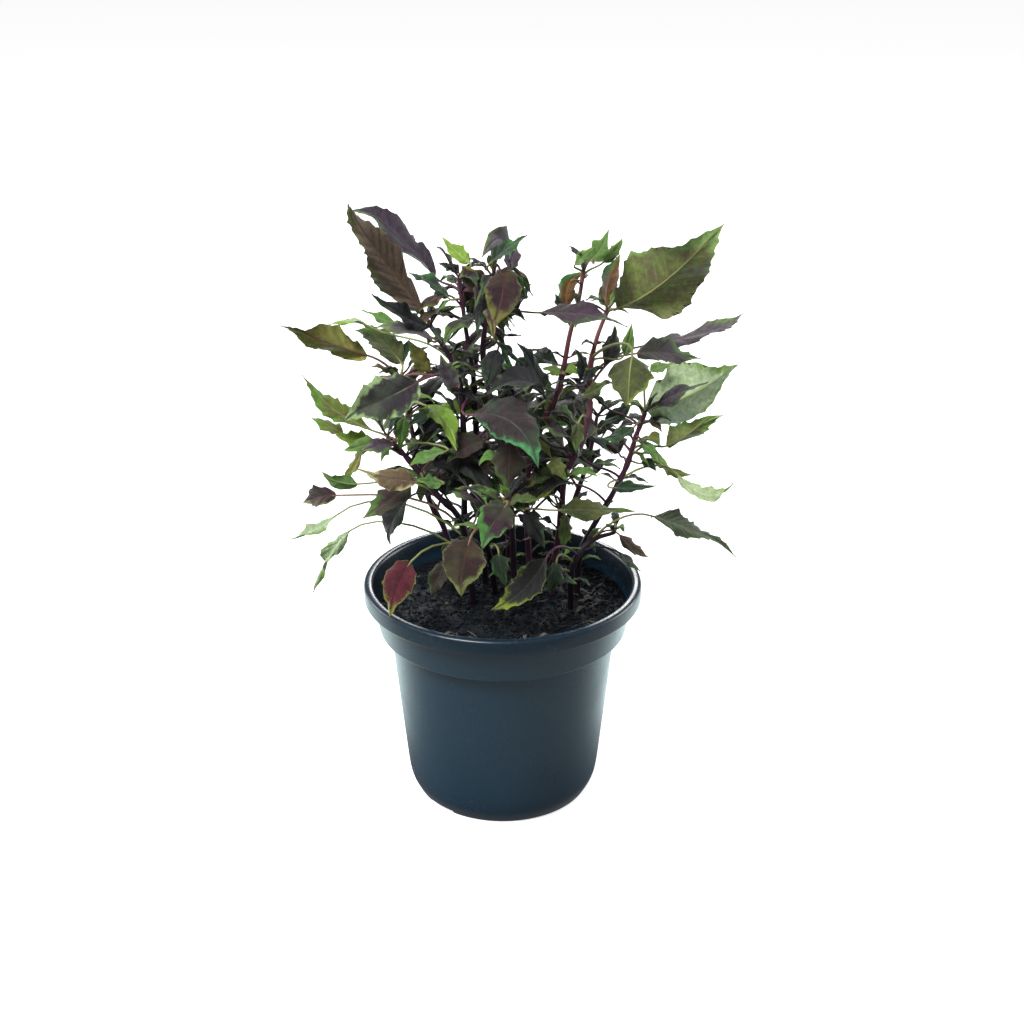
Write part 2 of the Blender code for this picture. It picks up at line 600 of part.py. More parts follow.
def rod(name, points, radii, home):
    """A four-sided tapering rod along these points, as a closed mesh."""
    curve = bpy.data.curves.new(name, "CURVE")
    curve.dimensions = "3D"
    curve.bevel_depth = 1.0
    curve.bevel_resolution = 0
    curve.use_fill_caps = True
    spline = curve.splines.new("POLY")
    spline.points.add(len(points) - 1)
    for spot, point, radius in zip(spline.points, points, radii):
        spot.co = (*point, 1.0)
        spot.radius = radius
    guide = bpy.data.objects.new(name, curve)
    home.objects.link(guide)
    made = baked(guide, home)
    shape = bmesh.new()
    shape.from_mesh(made.data)
    bmesh.ops.remove_doubles(shape, verts=shape.verts, dist=MERGE)
    bmesh.ops.triangulate(shape, faces=shape.faces)
    bmesh.ops.recalc_face_normals(shape, faces=shape.faces)
    shape.to_mesh(made.data)
    shape.free()
    return made


def plain_tube(points, radius):
    """Points and triangles of a rough tube, to test what a petiole or a stem would touch."""
    rings, faces = [], []
    for i, point in enumerate(points):
        along = (points[min(i + 1, len(points) - 1)] - points[max(i - 1, 0)]).normalized()
        a = along.orthogonal().normalized()
        b = along.cross(a)
        rings += [point + radius * way for way in (a, b, -a, -b)]
    for i in range(len(points) - 1):
        for k in range(4):
            p, q = 4 * i + k, 4 * i + (k + 1) % 4
            faces += [(p, q, q + 4), (p, q + 4, p + 4)]
    return rings, faces


Shape = namedtuple("Shape", "stem kind tree middle reach")


def shape_of(stem, kind, points, faces):
    middle = sum(points, Vector()) / len(points)
    reach = max((p - middle).length for p in points)
    return Shape(stem, kind, BVHTree.FromPolygons(points, faces), middle, reach)


def leaf_shapes(leaf, gap):
    """The blade's two sides and the petiole past its root, each grown by the gap."""
    shapes = []
    for side in (-1, 1):
        shapes.append(shape_of(leaf.stem, "blade", *blade(leaf, side * (BLADE_THICKNESS / 2 + gap))))
    stalk = petiole_points(leaf, 6)[1:]
    shapes.append(shape_of(leaf.stem, "petiole", *plain_tube(stalk, petiole_radius(leaf) + gap)))
    return shapes


def touches(shape, placed):
    for other in placed:
        if other.stem == shape.stem:
            if other.kind == "stem" or (other.kind == "petiole" and shape.kind == "petiole"):
                continue
        if (other.middle - shape.middle).length > other.reach + shape.reach:
            continue
        if shape.tree.overlap(other.tree):
            return True
    return False


def settle(leaf, placed):
    """The leaf at the first shift along the line of sight that clears what is placed, or None."""
    for distance in SHIFTS:
        moved = shifted(leaf, distance)
        if not any(touches(shape, placed) for shape in leaf_shapes(moved, CLEARANCE)):
            placed.extend(leaf_shapes(moved, 0.0))
            return moved
    return None


def is_hidden(point):
    """Whether the middle mass of leaves covers this point from the front."""
    near = -EYE.y / (point.y - EYE.y)
    x = EYE.x + (point.x - EYE.x) * near
    z = EYE.z + (point.z - EYE.z) * near
    across = (x - HIDDEN_MIDDLE[0]) / HIDDEN_SPAN[0]
    up = (z - HIDDEN_MIDDLE[1]) / HIDDEN_SPAN[1]
    return across**2 + up**2 < 1


def rule_leaves(routes):
    """Opposite leaves at even heights up each stem, each pair a quarter turn from the one below."""
    draw = random.Random(SEED)
    for stem, route in routes.items():
        height = FIRST_PAIR
        quarter = draw.uniform(0.2, 1.2)
        while height < route[-1].z:
            root = at_height(route, height)
            for half in (0, math.pi):
                angle = quarter + half + draw.uniform(*RULE_TURN)
                length = draw.uniform(*RULE_LENGTH)
                width = length * draw.uniform(*RULE_WIDTH)
                stalk = draw.uniform(*RULE_PETIOLE)
                lift = draw.uniform(*RULE_LIFT)
                droop = draw.uniform(*RULE_DROOP)
                out = Vector((math.cos(angle), math.sin(angle), 0.0))
                base = root + stalk * (out + Vector((0.0, 0.0, lift)))
                tip = base + length * (out + Vector((0.0, 0.0, lift - 2 * droop))).normalized()
                mid = (base + tip) / 2 + Vector((0.0, 0.0, RULE_ARCH * length))
                if tip.y > FRONT_LIMIT and is_hidden(tip) and is_hidden(mid):
                    facing = Vector((0.0, 0.0, 1.0)) + RULE_CANT * out
                    yield Leaf(stem, root, base, mid, tip, width, facing, RULE_TEETH)
            quarter += math.pi / 2
            height += PAIR_SPACING


def all_leaves(routes):
    """Every leaf, settled clear of the pot, the soil and all that was placed before it."""
    graph = bpy.context.evaluated_depsgraph_get()
    placed = []
    for name in ("pot", "soil"):
        tree = BVHTree.FromObject(bpy.data.objects[name], graph)
        placed.append(Shape(name, "holder", tree, Vector(), 1.0))
    for name, route in routes.items():
        placed.append(shape_of(name, "stem", *plain_tube(route, STEM_RADIUS)))
    leaves = []
    for row in LEAVES:
        leaves.append(settle(front_leaf(*row, routes), placed))
    for leaf in rule_leaves(routes):
        leaves.append(settle(leaf, placed))
    return [leaf for leaf in leaves if leaf]


def leaf_object(leaf, home):
    made = mesh_object("leaf", *leaf_surface(leaf), home)
    thick = made.modifiers.new("thickness", "SOLIDIFY")
    thick.thickness = BLADE_THICKNESS
    thick.offset = 0.0
    return baked(made, home)


def make_leafy_stem(name, route, leaves, home, look):
    """A stem with its petioles and blades, joined in one solid."""
    tools = collection("growing_" + name)
    count = len(route) - 1
    radii = [STEM_RADIUS + (STEM_TOP_RADIUS - STEM_RADIUS) * (i / count) ** 1.5 for i in range(count + 1)]
    stem = rod(name + "_core", route, radii, home)
    for leaf in leaves:
        leaf_object(leaf, tools)
    if leaves:
        join = stem.modifiers.new("grow_together", "BOOLEAN")
        join.operation = "UNION"
        join.operand_type = "COLLECTION"
        join.collection = tools
        join.solver = "MANIFOLD"
        stem = baked(stem, home)
    discard(tools)
    stem.name = name
    stem.data.materials.clear()
    stem.data.materials.append(look)


def main():
    for old in list(bpy.data.objects):
        bpy.data.objects.remove(old)
    home = collection("potted_coleus")
    make_pot(home)
    make_soil(home)
    routes = {name: stem_route(name) for name in STEMS}
    leaves = all_leaves(routes)
    look = material("coleus_leaf", COLOURS["leaf"], 0.55)
    for name, route in routes.items():
        make_leafy_stem(name, route, [leaf for leaf in leaves if leaf.stem == name], home, look)


main()
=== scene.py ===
"""Looks of the potted coleus: the pot, its soil and its leafy stems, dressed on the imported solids.

Metres, +Z up, origin in the middle of the pot's underside, +Y away from the viewer.
"""

import math
import random
from collections import namedtuple
from itertools import combinations, product

import bpy
from mathutils import Euler, Matrix, Vector, noise
from mathutils.bvhtree import BVHTree


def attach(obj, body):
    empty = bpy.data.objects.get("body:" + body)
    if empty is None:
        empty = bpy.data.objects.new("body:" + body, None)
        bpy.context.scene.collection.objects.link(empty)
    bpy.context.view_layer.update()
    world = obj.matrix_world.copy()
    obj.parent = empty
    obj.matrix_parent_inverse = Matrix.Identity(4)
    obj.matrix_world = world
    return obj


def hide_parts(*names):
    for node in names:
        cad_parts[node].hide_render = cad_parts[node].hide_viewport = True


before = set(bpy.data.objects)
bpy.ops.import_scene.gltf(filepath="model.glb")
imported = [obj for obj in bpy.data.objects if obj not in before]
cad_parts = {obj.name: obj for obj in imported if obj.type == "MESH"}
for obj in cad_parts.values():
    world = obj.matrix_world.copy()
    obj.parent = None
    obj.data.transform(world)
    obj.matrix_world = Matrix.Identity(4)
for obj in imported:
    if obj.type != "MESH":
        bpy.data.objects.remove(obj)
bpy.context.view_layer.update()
MM = 0.001

# Nursery pot
# One thin moulding in black polypropylene: a rolled rim, a stepped collar that lets pots nest, a
# tapered wall and a foot ring. Notches in the ring and holes in the floor let the water out.

POT_HEIGHT = 0.116
RIM_RADIUS = 0.070
RIM_INNER_RADIUS = 0.0655
LIP_HEIGHT = 0.0084
COLLAR_RADIUS = 0.0652
STEP_HEIGHT = 0.091
STEP_RADIUS = 0.062
COLLAR_SWELL = 0.0004
STEP_SWELL = 0.0005
WALL_TOP_RADIUS = 0.057
WALL_FOOT_RADIUS = 0.0496
WALL_FOOT_HEIGHT = 0.014
BASE_RADIUS = 0.0445
FOOT_WIDTH = 0.0045
FOOT_HEIGHT = 0.0024
HUB_RADIUS = 0.009
WALL = 0.0016
FLOOR_TOP = 0.0046
EDGE_ROLL = 0.0012
FOOT_NOTCHES = 3
FIRST_NOTCH = math.radians(225)
FOOT_NOTCH_WIDTH = 0.017
FOOT_NOTCH_HEIGHT = 0.0022
DRAIN_COUNT = 6
DRAIN_RADIUS = 0.0042
DRAIN_RING = 0.027
DRAIN_SIDES = 24
CUT_PAST = 0.002
POT_STEPS = 160
ROUNDING_STEPS = 4
LONGEST_ROUNDING = 0.48
POT_CREASE = 42

# Heights between which the rim, from its underside up, is painted darker, a painted shade; the height of
# the pale line along the collar's step, a painted highlight; and the distances over which that line fades
RIM_SHADE = (0.1045, 0.108)
HIGHLIGHT_LINE_HEIGHT = 0.0912
HIGHLIGHT_LINE_FADE = (0.0002, 0.0006)

# Patterns on the plastic, each with its size in metres, detail, roughness and scale along Z: cloudy
# patches, the mould's draw marks, pits, dust and specks. The marks and pits are coarser than real
# ones, so that they show.
PLASTIC_GRAINS = (
    (0.022, 3.0, 0.5, 1.0),
    (0.0016, 2.0, 0.5, 0.05),
    (0.00045, 3.0, 0.5, 1.0),
    (0.004, 5.0, 0.7, 1.0),
    (0.0011, 2.0, 0.5, 1.0),
)
EASED = {"interpolation_type": "SMOOTHSTEP"}


def linear(hex_colour):
    """The linear red, green, blue and alpha of an sRGB colour such as "2c3e4b"."""
    parts = [int(hex_colour[i : i + 2], 16) / 255 for i in (0, 2, 4)]
    return [p / 12.92 if p <= 0.04045 else ((p + 0.055) / 1.055) ** 2.4 for p in parts] + [1.0]


def fill(tree, node, inputs):
    """Set or link each of these inputs of the node, by their names or in their order."""
    for key, value in inputs.items() if isinstance(inputs, dict) else enumerate(inputs):
        if isinstance(value, bpy.types.NodeSocket):
            tree.links.new(value, node.inputs[key])
        else:
            node.inputs[key].default_value = value


def add(tree, kind, inputs=(), output=0, **settings):
    """One output of a new shader node that has these inputs and settings."""
    node = tree.nodes.new("ShaderNode" + kind)
    for key, value in settings.items():
        setattr(node, key, value)
    fill(tree, node, inputs)
    return node.outputs[output]


def mottling(tree, grains):
    """Patterns from 0 to 1 whose features have a real size, as tables such as PLASTIC_GRAINS say."""
    place = add(tree, "TexCoord", output="Object")
    patterns = []
    for size, detail, rough, upright in grains:
        drawn = add(tree, "Mapping", {"Vector": place, "Scale": (1.0, 1.0, upright)})
        inputs = {"Vector": drawn, "Scale": 1 / size, "Detail": detail, "Roughness": rough}
        patterns.append(add(tree, "TexNoise", inputs))
    return patterns


def weighed(tree, total, *terms):
    """The total and each term times its weight, added up."""
    for term, weight in terms:
        total = add(tree, "Math", [term, weight, total], operation="MULTIPLY_ADD")
    return total


def painted(tree, colour, *layers):
    """The colour under layers of paint, each laid on as thickly as its amount from 0 to 1."""
    for amount, paint in layers:
        colour = add(tree, "Mix", {0: amount, 6: colour, 7: linear(paint)}, 2, data_type="RGBA")
    return colour


def new_material(name):
    made = bpy.data.materials.new(name)
    made.use_nodes = True
    return made, made.node_tree


def finished(material, **sockets):
    """The material with these sockets of its shader set or linked, such as Base_Color."""
    tree = material.node_tree
    inputs = {name.replace("_", " "): value for name, value in sockets.items()}
    fill(tree, tree.nodes["Principled BSDF"], inputs)
    return material


def mesh_piece(name, points, faces, materials, slots=None, sharp=None):
    """A smooth-shaded mesh object, with a material slot number for each face."""
    mesh = bpy.data.meshes.new(name)
    mesh.from_pydata(points, [], faces)
    for material in materials:
        mesh.materials.append(material)
    if slots:
        mesh.polygons.foreach_set("material_index", slots)
    mesh.shade_smooth()
    if sharp:
        mesh.set_sharp_from_angle(angle=math.radians(sharp))
    made = bpy.data.objects.new(name, mesh)
    bpy.context.scene.collection.objects.link(made)
    return made


def finish_piece(piece, slot, *nodes):
    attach(piece, "root")
    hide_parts(*nodes)


def band(low, high):
    """The faces between two rings of point numbers."""
    return list(zip(low, low[1:] + low[:1], high[1:] + high[:1], high))


def numbers(first, count):
    return list(range(first, first + count))


def rounded(corners):
    """The profile with each corner (radius, height, rounding) turned into a small curve."""
    line = []
    for i, (x, z, size) in enumerate(corners):
        here = Vector((x, z))
        if size == 0 or i in (0, len(corners) - 1):
            line.append(here)
            continue
        before = Vector(corners[i - 1][:2]) - here
        after = Vector(corners[i + 1][:2]) - here
        start = here + before.normalized() * min(size, before.length * LONGEST_ROUNDING)
        end = here + after.normalized() * min(size, after.length * LONGEST_ROUNDING)
        for k in range(ROUNDING_STEPS + 1):
            t = k / ROUNDING_STEPS
            line.append((1 - t) ** 2 * start + 2 * t * (1 - t) * here + t**2 * end)
    return line


def lathe(line, steps):
    """Points and faces of a profile turned about Z, whose first and last points lie on the axis."""
    points = [Vector((0.0, 0.0, line[0].y))]
    for spot in line[1:-1]:
        for k in range(steps):
            angle = 2 * math.pi * k / steps
            points.append(Vector((spot.x * math.cos(angle), spot.x * math.sin(angle), spot.y)))
    points.append(Vector((0.0, 0.0, line[-1].y)))
    rings = [numbers(1 + i * steps, steps) for i in range(len(line) - 2)]
    faces = [(0, b, a) for a, b in zip(rings[0], rings[0][1:] + rings[0][:1])]
    faces += [(a, b, len(points) - 1) for a, b in zip(rings[-1], rings[-1][1:] + rings[-1][:1])]
    for low, high in zip(rings, rings[1:]):
        faces += band(low, high)
    return points, faces


def inner_wall():
    """The pot's inside from the floor up to the lip, as (radius, height, rounding)."""
    return [
        (BASE_RADIUS - WALL + EDGE_ROLL, FLOOR_TOP, 0.001),
        (WALL_FOOT_RADIUS - WALL, WALL_FOOT_HEIGHT, 0.003),
        (WALL_TOP_RADIUS - WALL, STEP_HEIGHT - EDGE_ROLL, 0.001),
        (STEP_RADIUS - WALL, STEP_HEIGHT + EDGE_ROLL, 0.001),
        (COLLAR_RADIUS - WALL, POT_HEIGHT - LIP_HEIGHT, 0.003),
    ]


def pot_corners():
    lip_low = POT_HEIGHT - LIP_HEIGHT
    foot_inner = BASE_RADIUS - FOOT_WIDTH
    return [
        (0.0, FLOOR_TOP, 0.0),
        *inner_wall(),
        (RIM_INNER_RADIUS, POT_HEIGHT, 0.0016),
        (RIM_RADIUS, POT_HEIGHT, 0.002),
        (RIM_RADIUS, lip_low, 0.0014),
        (COLLAR_RADIUS + COLLAR_SWELL, lip_low, 0.0006),
        (STEP_RADIUS + STEP_SWELL, STEP_HEIGHT, 0.0012),
        (WALL_TOP_RADIUS, STEP_HEIGHT - 2 * EDGE_ROLL, 0.001),
        (WALL_FOOT_RADIUS, WALL_FOOT_HEIGHT, 0.005),
        (WALL_FOOT_RADIUS - EDGE_ROLL, WALL_FOOT_HEIGHT / 2, 0.004),
        (BASE_RADIUS, 0.0, 0.0012),
        (foot_inner, 0.0, 0.0006),
        (foot_inner - EDGE_ROLL / 2, FOOT_HEIGHT, 0.0006),
        (HUB_RADIUS + EDGE_ROLL / 2, FOOT_HEIGHT, 0.0004),
        (HUB_RADIUS, 0.0, 0.0004),
        (0.0, 0.0, 0.0),
    ]


def pot_cutters():
    """The foot's notches and the drain holes, as one mesh to cut the pot with."""
    middle = BASE_RADIUS - FOOT_WIDTH / 2
    corner = math.sqrt(2)
    notch = (4, middle, 2 * FOOT_WIDTH * corner, FOOT_NOTCH_WIDTH / 2 * corner, FOOT_NOTCH_HEIGHT)
    drain = (DRAIN_SIDES, DRAIN_RING, DRAIN_RADIUS, DRAIN_RADIUS, FLOOR_TOP + CUT_PAST)
    shapes = [(FIRST_NOTCH + 2 * math.pi * i / FOOT_NOTCHES, *notch) for i in range(FOOT_NOTCHES)]
    shapes += [(2 * math.pi * i / DRAIN_COUNT, *drain) for i in range(DRAIN_COUNT)]
    points, faces = [], []
    for angle, sides, ring, deep, wide, top in shapes:
        low = numbers(len(points), sides)
        high = numbers(len(points) + sides, sides)
        for height in (-CUT_PAST, top):
            for k in range(sides):
                turn = 2 * math.pi * (k + 0.5) / sides
                spot = Vector((ring + deep * math.cos(turn), wide * math.sin(turn), height))
                points.append(Matrix.Rotation(angle, 3, "Z") @ spot)
        faces += [low[::-1], high, *band(low, high)]
    return points, faces


def pot_plastic():
    """Black polypropylene with a blue cast, dull gloss and dust; painted shade on the rim, a painted
    highlight on the step.
    """
    made, tree = new_material("black_polypropylene_moulded")
    cloud, drawn, pits, dust, specks = mottling(tree, PLASTIC_GRAINS)
    dust = add(tree, "MapRange", [dust, 0.52, 0.78, 0.0, 0.12], **EASED)
    specks = add(tree, "MapRange", [specks, 0.72, 0.78, 0.0, 0.25], **EASED)
    up = add(tree, "SeparateXYZ", [add(tree, "TexCoord", output="Object")], "Z")
    # The rim is painted darker from just under the lip upwards: painted shade.
    painted_rim_shade = add(tree, "MapRange", [up, *RIM_SHADE, 0.0, 0.6], **EASED)
    # A pale line along the collar's step, patchy with the clouds: a painted highlight.
    off_line = add(tree, "Math", [weighed(tree, -HIGHLIGHT_LINE_HEIGHT, (up, 1.0))], operation="ABSOLUTE")
    line = add(tree, "MapRange", [off_line, *HIGHLIGHT_LINE_FADE, 1.0, 0.0], **EASED)
    highlight_strength = add(tree, "MapRange", [cloud, 0.3, 0.7, 0.1, 0.4], **EASED)
    painted_highlight = weighed(tree, 0.0, (line, highlight_strength))
    layers = [(cloud, "1c394c"), (painted_rim_shade, "0b151d"), (painted_highlight, "6f8794"), (dust, "46606e"), (specks, "8d9aa0")]
    gloss = add(tree, "MapRange", [cloud, 0.2, 0.8, 0.24, 0.34], **EASED)
    texture = {"Height": weighed(tree, 0.0, (drawn, 0.6), (pits, 0.4)), "Strength": 0.2, "Distance": 0.0002}
    return finished(
        made,
        Base_Color=painted(tree, linear("163143"), *layers),
        Roughness=weighed(tree, gloss, (dust, 1.0)),
        IOR=1.49,
        Normal=add(tree, "Bump", texture),
    )


def make_pot():
    points, faces = lathe(rounded(pot_corners()), POT_STEPS)
    body = mesh_piece("nursery_pot", points, faces, [pot_plastic()])
    cutter = mesh_piece("pot_cutter", *pot_cutters(), [])
    cut = body.modifiers.new("cuts", "BOOLEAN")
    cut.operation = "DIFFERENCE"
    cut.object = cutter
    graph = bpy.context.evaluated_depsgraph_get()
    mesh = bpy.data.meshes.new_from_object(body.evaluated_get(graph))
    body.modifiers.clear()
    body.data = mesh
    mesh.shade_smooth()
    mesh.set_sharp_from_angle(angle=math.radians(POT_CREASE))
    bpy.data.objects.remove(cutter)
    finish_piece(body, "pot_plastic", "pot")


make_pot()


# Potting mix
# Moist dark peat, lumpy from watering, with crumbs, scraps of composted bark, a few fibres and
# grains of grit. It is pressed in to about 12 mm below the rim.

SOIL_TOP = 0.104
SOIL_GAP = 0.00035
SOIL_RELIEF = 0.0013
COARSE_LUMP = 0.033
FINE_LUMP = 0.010
SMALL_LUMP = 0.007
SMALL_LUMP_HEIGHT = 0.0011
EDGE_DIP = 0.0012
SOIL_RINGS = 60
SOIL_STEPS = 200
SOIL_SEED = 4
PEAT_TINT = 0.02
PHI = (1 + math.sqrt(5)) / 2

# Crumbs, and flat scraps of bark: how many, their size, the range of its share along, across and up,
# how far they tilt, the tints that they have, and what share of them has one of these and isn't grit
Lumps = namedtuple("Lumps", "count sizes shares tilt tints plain")
CRUMBS = Lumps(
    count=2600,
    sizes=(0.0004, 0.0013),
    shares=((0.8, 1.5), None, (0.6, 1.0)),
    tilt=0.4,
    tints=(0.0, 0.05, 0.12, 0.2, 0.3, 0.42),
    plain=0.996,
)
CHIPS = Lumps(
    count=260,
    sizes=(0.0009, 0.0036),
    shares=(None, (0.2, 0.5), (0.12, 0.25)),
    tilt=0.5,
    tints=(0.2, 0.3, 0.4, 0.5, 0.6, 0.8),
    plain=None,
)
GRIT_TINT = 0.9
CRUMB_LEAN = 0.4
CRUMB_DENTS = (0.72, 1.12)
CRUMB_MARGIN = 0.0018
CRUMB_SINK = 0.3
CRUMB_TINTS = (-0.04, 0.04)
SMALLER = (0.6, 1.0)

# Withered leaves and fibres on the soil: x, y, length and width in millimetres, and turn in degrees
LITTER = [
    (-21, -49, 15, 3.2, 10),
    (-13, -47, 10, 2.4, -25),
    (-27, -43, 9, 2.0, 40),
    (16, -50, 12, 2.6, -15),
    (20, -45, 11, 2.2, 35),
    (11, -44, 7, 1.6, 80),
    (24, -52, 8, 1.8, 5),
    (-3, -52, 9, 0.5, 20),
    (-15, -40, 9, 0.5, -50),
    (47, -33, 11, 0.6, 30),
    (44, -30, 10, 0.5, -20),
    (49, -5, 9, 0.5, 12),
    (38, -14, 8, 1.6, 70),
    (41, -2, 6, 2.0, 20),
    (36, 4, 6, 1.8, -30),
    (5, -57, 7, 0.6, -8),
]
LITTER_STEPS = 8
LITTER_COLUMNS = (-1.0, -0.4, 0.4, 1.0)
LITTER_HEIGHT = 0.0008
LITTER_EDGE = 0.0001
LITTER_RUFFLE = 0.0003
LITTER_TINT = 0.84
LITTER_TINTS = (-0.05, 0.05)

# Patterns in the mix, as for the plastic: crumbs, damp patches and grit
SOIL_GRAINS = ((0.0012, 4.0, 0.7, 1.0), (0.009, 3.0, 0.5, 1.0), (0.0007, 5.0, 0.75, 1.0))


def relief(x, y, edge):
    """Height of the lumpy soil above its mean level, fading out at the pot's wall."""
    coarse = math.sin(math.pi * x / COARSE_LUMP + 1.3) * math.cos(math.pi * y / COARSE_LUMP - 0.7)
    fine = math.sin(math.pi * (x - y) / FINE_LUMP) * math.cos(math.pi * (x + y) / FINE_LUMP)
    return SOIL_RELIEF * (0.6 * coarse + 0.4 * fine) * (1 - (math.hypot(x, y) / edge) ** 4)


def soil_edge():
    low, high = inner_wall()[-2:]
    rise = (SOIL_TOP - low[1]) / (high[1] - low[1])
    return low[0] + rise * (high[0] - low[0]) - SOIL_GAP


def soil_height(x, y):
    """The surface with its small lumps, a little lower where it meets the pot."""
    edge = soil_edge()
    out = math.hypot(x, y) / edge
    lumps = noise.fractal(Vector((x, y, 0.0)) / SMALL_LUMP, 0.9, 2.1, 4)
    return SOIL_TOP + relief(x, y, edge) + SMALL_LUMP_HEIGHT * lumps * (1 - out**8) - EDGE_DIP * out**12


def toned(tree, value, start, *stops):
    """The colour that a value from 0 to 1 has on a scale from the start on through these stops."""
    tones = add(tree, "ValToRGB", [value])
    line = tones.node.color_ramp.elements
    line.remove(line[1])
    line[0].color = linear(start)
    for place, colour in stops:
        line.new(place).color = linear(colour)
    return tones


def soil_mix():
    """Each crumb has a tint from 0 to 1, from wet peat through bark to pale grit."""
    made, tree = new_material("moist_potting_mix")
    crumbs, damp, grit = mottling(tree, SOIL_GRAINS)
    tint = add(tree, "Attribute", output="Fac", attribute_name="tint")
    tone = weighed(tree, 0.0, (tint, 0.8), (crumbs, 0.24))
    wet = ("00060c", (0.28, "020b14"), (0.5, "081722"))
    dry = ((0.68, "202a2f"), (0.8, "4c4641"), (1.0, "84796e"))
    return finished(
        made,
        Base_Color=toned(tree, tone, *wet, *dry),
        Roughness=add(tree, "MapRange", [damp, 0.35, 0.65, 0.5, 0.95], **EASED),
        IOR=1.4,
        Specular_IOR_Level=0.35,
        Normal=add(tree, "Bump", {"Height": grit, "Strength": 0.9, "Distance": 0.0005}),
    )


def icosahedron():
    corners = []
    for a in (-1, 1):
        for b in (-PHI, PHI):
            corners += [Vector((0, a, b)), Vector((a, b, 0)), Vector((b, 0, a))]
    corners = [c.normalized() for c in corners]
    near = min((p - q).length for p in corners for q in corners if p is not q) * 1.1
    faces = []
    for (i, a), (j, b), (k, c) in combinations(enumerate(corners), 3):
        if max((a - b).length, (b - c).length, (a - c).length) < near:
            outward = (b - a).cross(c - a).dot(a) > 0
            faces.append((i, j, k) if outward else (i, k, j))
    return corners, faces


def scatter(lumps, points, faces, tints, draw):
    """Crumbs of peat or flat scraps of bark, each a dented lump lying on the soil."""
    corners, sides = icosahedron()
    for _ in range(lumps.count):
        angle = draw.uniform(0, 2 * math.pi)
        out = (soil_edge() - CRUMB_MARGIN) * math.sqrt(draw.random())
        x, y = out * math.cos(angle), out * math.sin(angle)
        size = draw.uniform(*lumps.sizes) * draw.uniform(*SMALLER)
        size = Vector([size * draw.uniform(*share) if share else size for share in lumps.shares])
        grit = lumps.plain and draw.random() >= lumps.plain
        tint = GRIT_TINT if grit else draw.choice(lumps.tints)
        tilt = draw.uniform(-lumps.tilt, lumps.tilt)
        lean = draw.uniform(-CRUMB_LEAN, CRUMB_LEAN)
        spin = Euler((tilt, lean, draw.uniform(0, 2 * math.pi))).to_matrix()
        middle = Vector((x, y, soil_height(x, y) + CRUMB_SINK * size.z))
        first = len(points)
        for corner in corners:
            dent = draw.uniform(*CRUMB_DENTS)
            points.append(middle + spin @ (Vector(c * s for c, s in zip(corner, size)) * dent))
        faces += [tuple(first + c for c in side) for side in sides]
        tints += [tint + draw.uniform(*CRUMB_TINTS)] * len(corners)


def scatter_litter(points, faces, tints, draw):
    """Withered leaves, curled along their length, and loose fibres, where the photograph shows some."""
    wide = len(LITTER_COLUMNS)
    for x, y, length, width, spin in LITTER:
        middle = Vector((x * MM, y * MM, soil_height(x * MM, y * MM) + LITTER_HEIGHT))
        turn = Matrix.Rotation(math.radians(spin), 3, "Z")
        first = len(points)
        for i in range(LITTER_STEPS + 1):
            t = i / LITTER_STEPS
            half = width * MM / 2 * math.sin(math.pi * (0.06 + 0.9 * t)) ** 0.8 + LITTER_EDGE
            bend = 0.12 * length * MM * math.sin(math.pi * t)
            for k in LITTER_COLUMNS:
                curled = half * (0.9 * abs(k) ** 1.5 * math.cos(5 * t + spin))
                up = curled + bend + draw.uniform(0, LITTER_RUFFLE)
                points.append(middle + turn @ Vector(((t - 0.5) * length * MM, half * k, up)))
                tints.append(LITTER_TINT + 0.1 * abs(k) + draw.uniform(*LITTER_TINTS))
        for i, k in product(range(LITTER_STEPS), range(wide - 1)):
            a = first + wide * i + k
            faces.append((a, a + 1, a + wide + 1, a + wide))


def make_soil():
    edge = soil_edge()
    top = [Vector((edge * i / SOIL_RINGS, SOIL_TOP)) for i in range(SOIL_RINGS + 1)]
    wall = [Vector((radius - SOIL_GAP, height)) for radius, height, _ in reversed(inner_wall()[:-1])]
    wall[-1].y = FLOOR_TOP + SOIL_GAP
    points, faces = lathe(top + wall + [Vector((0.0, FLOOR_TOP + SOIL_GAP))], SOIL_STEPS)
    faces = [face[::-1] for face in faces]
    for point in points:
        if point.z > SOIL_TOP - SOIL_GAP:
            point.z = soil_height(point.x, point.y)
    tints = [PEAT_TINT] * len(points)
    draw = random.Random(SOIL_SEED)
    scatter(CRUMBS, points, faces, tints, draw)
    scatter(CHIPS, points, faces, tints, draw)
    scatter_litter(points, faces, tints, draw)
    soil = mesh_piece("potting_mix", points, faces, [soil_mix()])
    soil.data.attributes.new("tint", "FLOAT", "POINT").data.foreach_set("value", tints)
    finish_piece(soil, "potting_soil", "soil")


make_soil()


# Leafy stems
# Soft square coleus stems, each with its leaf stalks and its thin toothed blades. Pigment lies in
# patches between the veins, most blades keep a green margin, and the undersides are paler.

# Where the camera stands, and which way the upper side of a leaf that is turned from it looks
EYE = Vector((0.0047, -0.723, 0.4588))
FACE_REFERENCE = Vector((0.35, 0.0, 1.0))
UP = Vector((0.0, 0.0, 1.0))

# Stems, in metres, swollen where a leaf stands on them
HOLE_DEPTH = 0.027
STEM_RADIUS = 0.0019
STEM_TOP_RADIUS = 0.0011
STEM_TAPER = 1.5
STEM_SIDES = 16
SQUARENESS = 0.06
BARE_STEM = 0.85
JOINT_SWELLING = 0.25
JOINT_SIZE = 0.0016
STEM_STEPS = 2
FINE_STEPS = 5
STEM_RISE = 0.003
ROOT_DROP = 0.35

